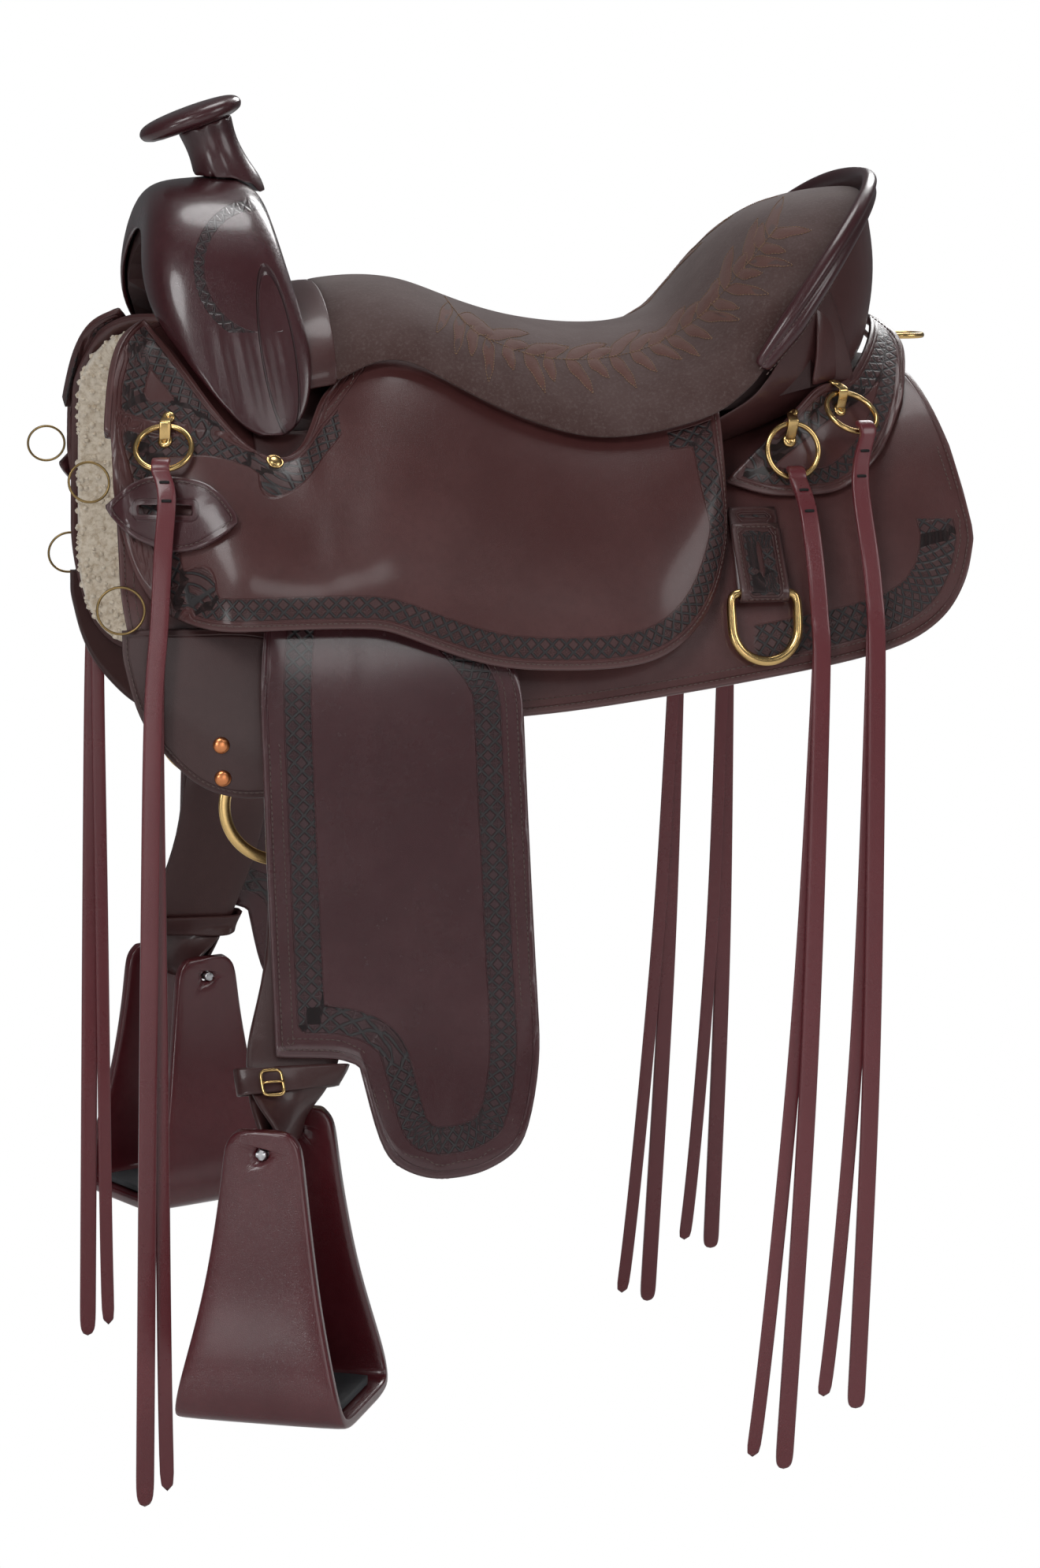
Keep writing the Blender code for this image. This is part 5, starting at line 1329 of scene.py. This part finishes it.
class SADDLE_OT_stage(bpy.types.Operator):
    """Camera, room, floor and lamps"""
    bl_idname = "saddle.stage"
    bl_label = "Stage"

    def execute(self, context):
        make_stage()
        return {"FINISHED"}


class SADDLE_OT_strings(bpy.types.Operator):
    """The six saddle strings, from their rings to their ends"""
    bl_idname = "saddle.strings"
    bl_label = "Strings"

    def execute(self, context):
        make_strings(MADE["finishes"])
        return {"FINISHED"}


class SADDLE_OT_tree(bpy.types.Operator):
    """The covered tree and the leather that closes the seat's sides"""
    bl_idname = "saddle.tree"
    bl_label = "Tree"

    def execute(self, context):
        make_tree(MADE["finishes"])
        return {"FINISHED"}


class SADDLE_OT_skirts(bpy.types.Operator):
    """Skirts and rigging plates"""
    bl_idname = "saddle.skirts"
    bl_label = "Skirts"

    def execute(self, context):
        make_skirts(MADE["finishes"])
        return {"FINISHED"}


class SADDLE_OT_jockeys(bpy.types.Operator):
    """Seat jockeys and rear jockeys"""
    bl_idname = "saddle.jockeys"
    bl_label = "Jockeys"

    def execute(self, context):
        make_jockeys(MADE["finishes"])
        return {"FINISHED"}


class SADDLE_OT_swell(bpy.types.Operator):
    """Swell, horn and cantle"""
    bl_idname = "saddle.swell"
    bl_label = "Swell and horn"

    def execute(self, context):
        make_swell(MADE["finishes"])
        return {"FINISHED"}


class SADDLE_OT_hanging(bpy.types.Operator):
    """Fenders, stirrup leathers and hobble straps"""
    bl_idname = "saddle.hanging"
    bl_label = "Fenders"

    def execute(self, context):
        make_hanging(MADE["finishes"])
        return {"FINISHED"}


class SADDLE_OT_keepers(bpy.types.Operator):
    """Latigo keepers and rear billets"""
    bl_idname = "saddle.keepers"
    bl_label = "Keepers"

    def execute(self, context):
        make_keepers(MADE["finishes"])
        return {"FINISHED"}


class SADDLE_OT_stirrups(bpy.types.Operator):
    """Stirrups, treads and bolts"""
    bl_idname = "saddle.stirrups"
    bl_label = "Stirrups"

    def execute(self, context):
        make_stirrups(MADE["finishes"])
        return {"FINISHED"}


class SADDLE_OT_rings(bpy.types.Operator):
    """Rings and dees"""
    bl_idname = "saddle.rings"
    bl_label = "Rings"

    def execute(self, context):
        make_metal(MADE["finishes"])
        return {"FINISHED"}


class SADDLE_OT_seat(bpy.types.Operator):
    """The padded seat with its sewn leaves"""
    bl_idname = "saddle.seat"
    bl_label = "Seat"

    def execute(self, context):
        make_seat(MADE["finishes"])
        return {"FINISHED"}


class SADDLE_OT_fleece(bpy.types.Operator):
    """The fleece under the skirts"""
    bl_idname = "saddle.fleece"
    bl_label = "Fleece"

    def execute(self, context):
        make_fleece(MADE["finishes"])
        return {"FINISHED"}


class SADDLE_OT_trim(bpy.types.Operator):
    """Clips, screws, rivets, conchos and buckles"""
    bl_idname = "saddle.trim"
    bl_label = "Trim"

    def execute(self, context):
        make_trim(MADE["finishes"])
        return {"FINISHED"}


OPERATORS = (SADDLE_OT_finishes, SADDLE_OT_stage, SADDLE_OT_strings, SADDLE_OT_tree, SADDLE_OT_skirts,
             SADDLE_OT_jockeys, SADDLE_OT_swell, SADDLE_OT_hanging, SADDLE_OT_keepers, SADDLE_OT_stirrups,
             SADDLE_OT_rings, SADDLE_OT_seat, SADDLE_OT_fleece, SADDLE_OT_trim)


class SADDLE_PT_sidebar(bpy.types.Panel):
    """Settings and steps of the saddle's finish"""
    bl_label = "Saddle"
    bl_space_type = "VIEW_3D"
    bl_region_type = "UI"
    bl_category = "Saddle"

    def draw(self, context):
        for name, group in GROUPS.items():
            box = self.layout.box()
            box.label(text=name.removeprefix("saddle_").capitalize())
            for setting in group.__annotations__:
                box.prop(getattr(context.scene, name), setting)
        for operator in OPERATORS:
            self.layout.operator(operator.bl_idname)


def register():
    for group in GROUPS.values():
        bpy.utils.register_class(group)
    for name, group in GROUPS.items():
        setattr(bpy.types.Scene, name, PointerProperty(type=group))
    for made in (*OPERATORS, SADDLE_PT_sidebar):
        bpy.utils.register_class(made)


def unregister():
    for made in (SADDLE_PT_sidebar, *reversed(OPERATORS)):
        bpy.utils.unregister_class(made)
    for name, group in GROUPS.items():
        delattr(bpy.types.Scene, name)
        bpy.utils.unregister_class(group)


def main():
    register()
    for operator in OPERATORS:
        getattr(bpy.ops.saddle, operator.bl_idname.removeprefix("saddle."))()


if __name__ == "__main__":
    main()
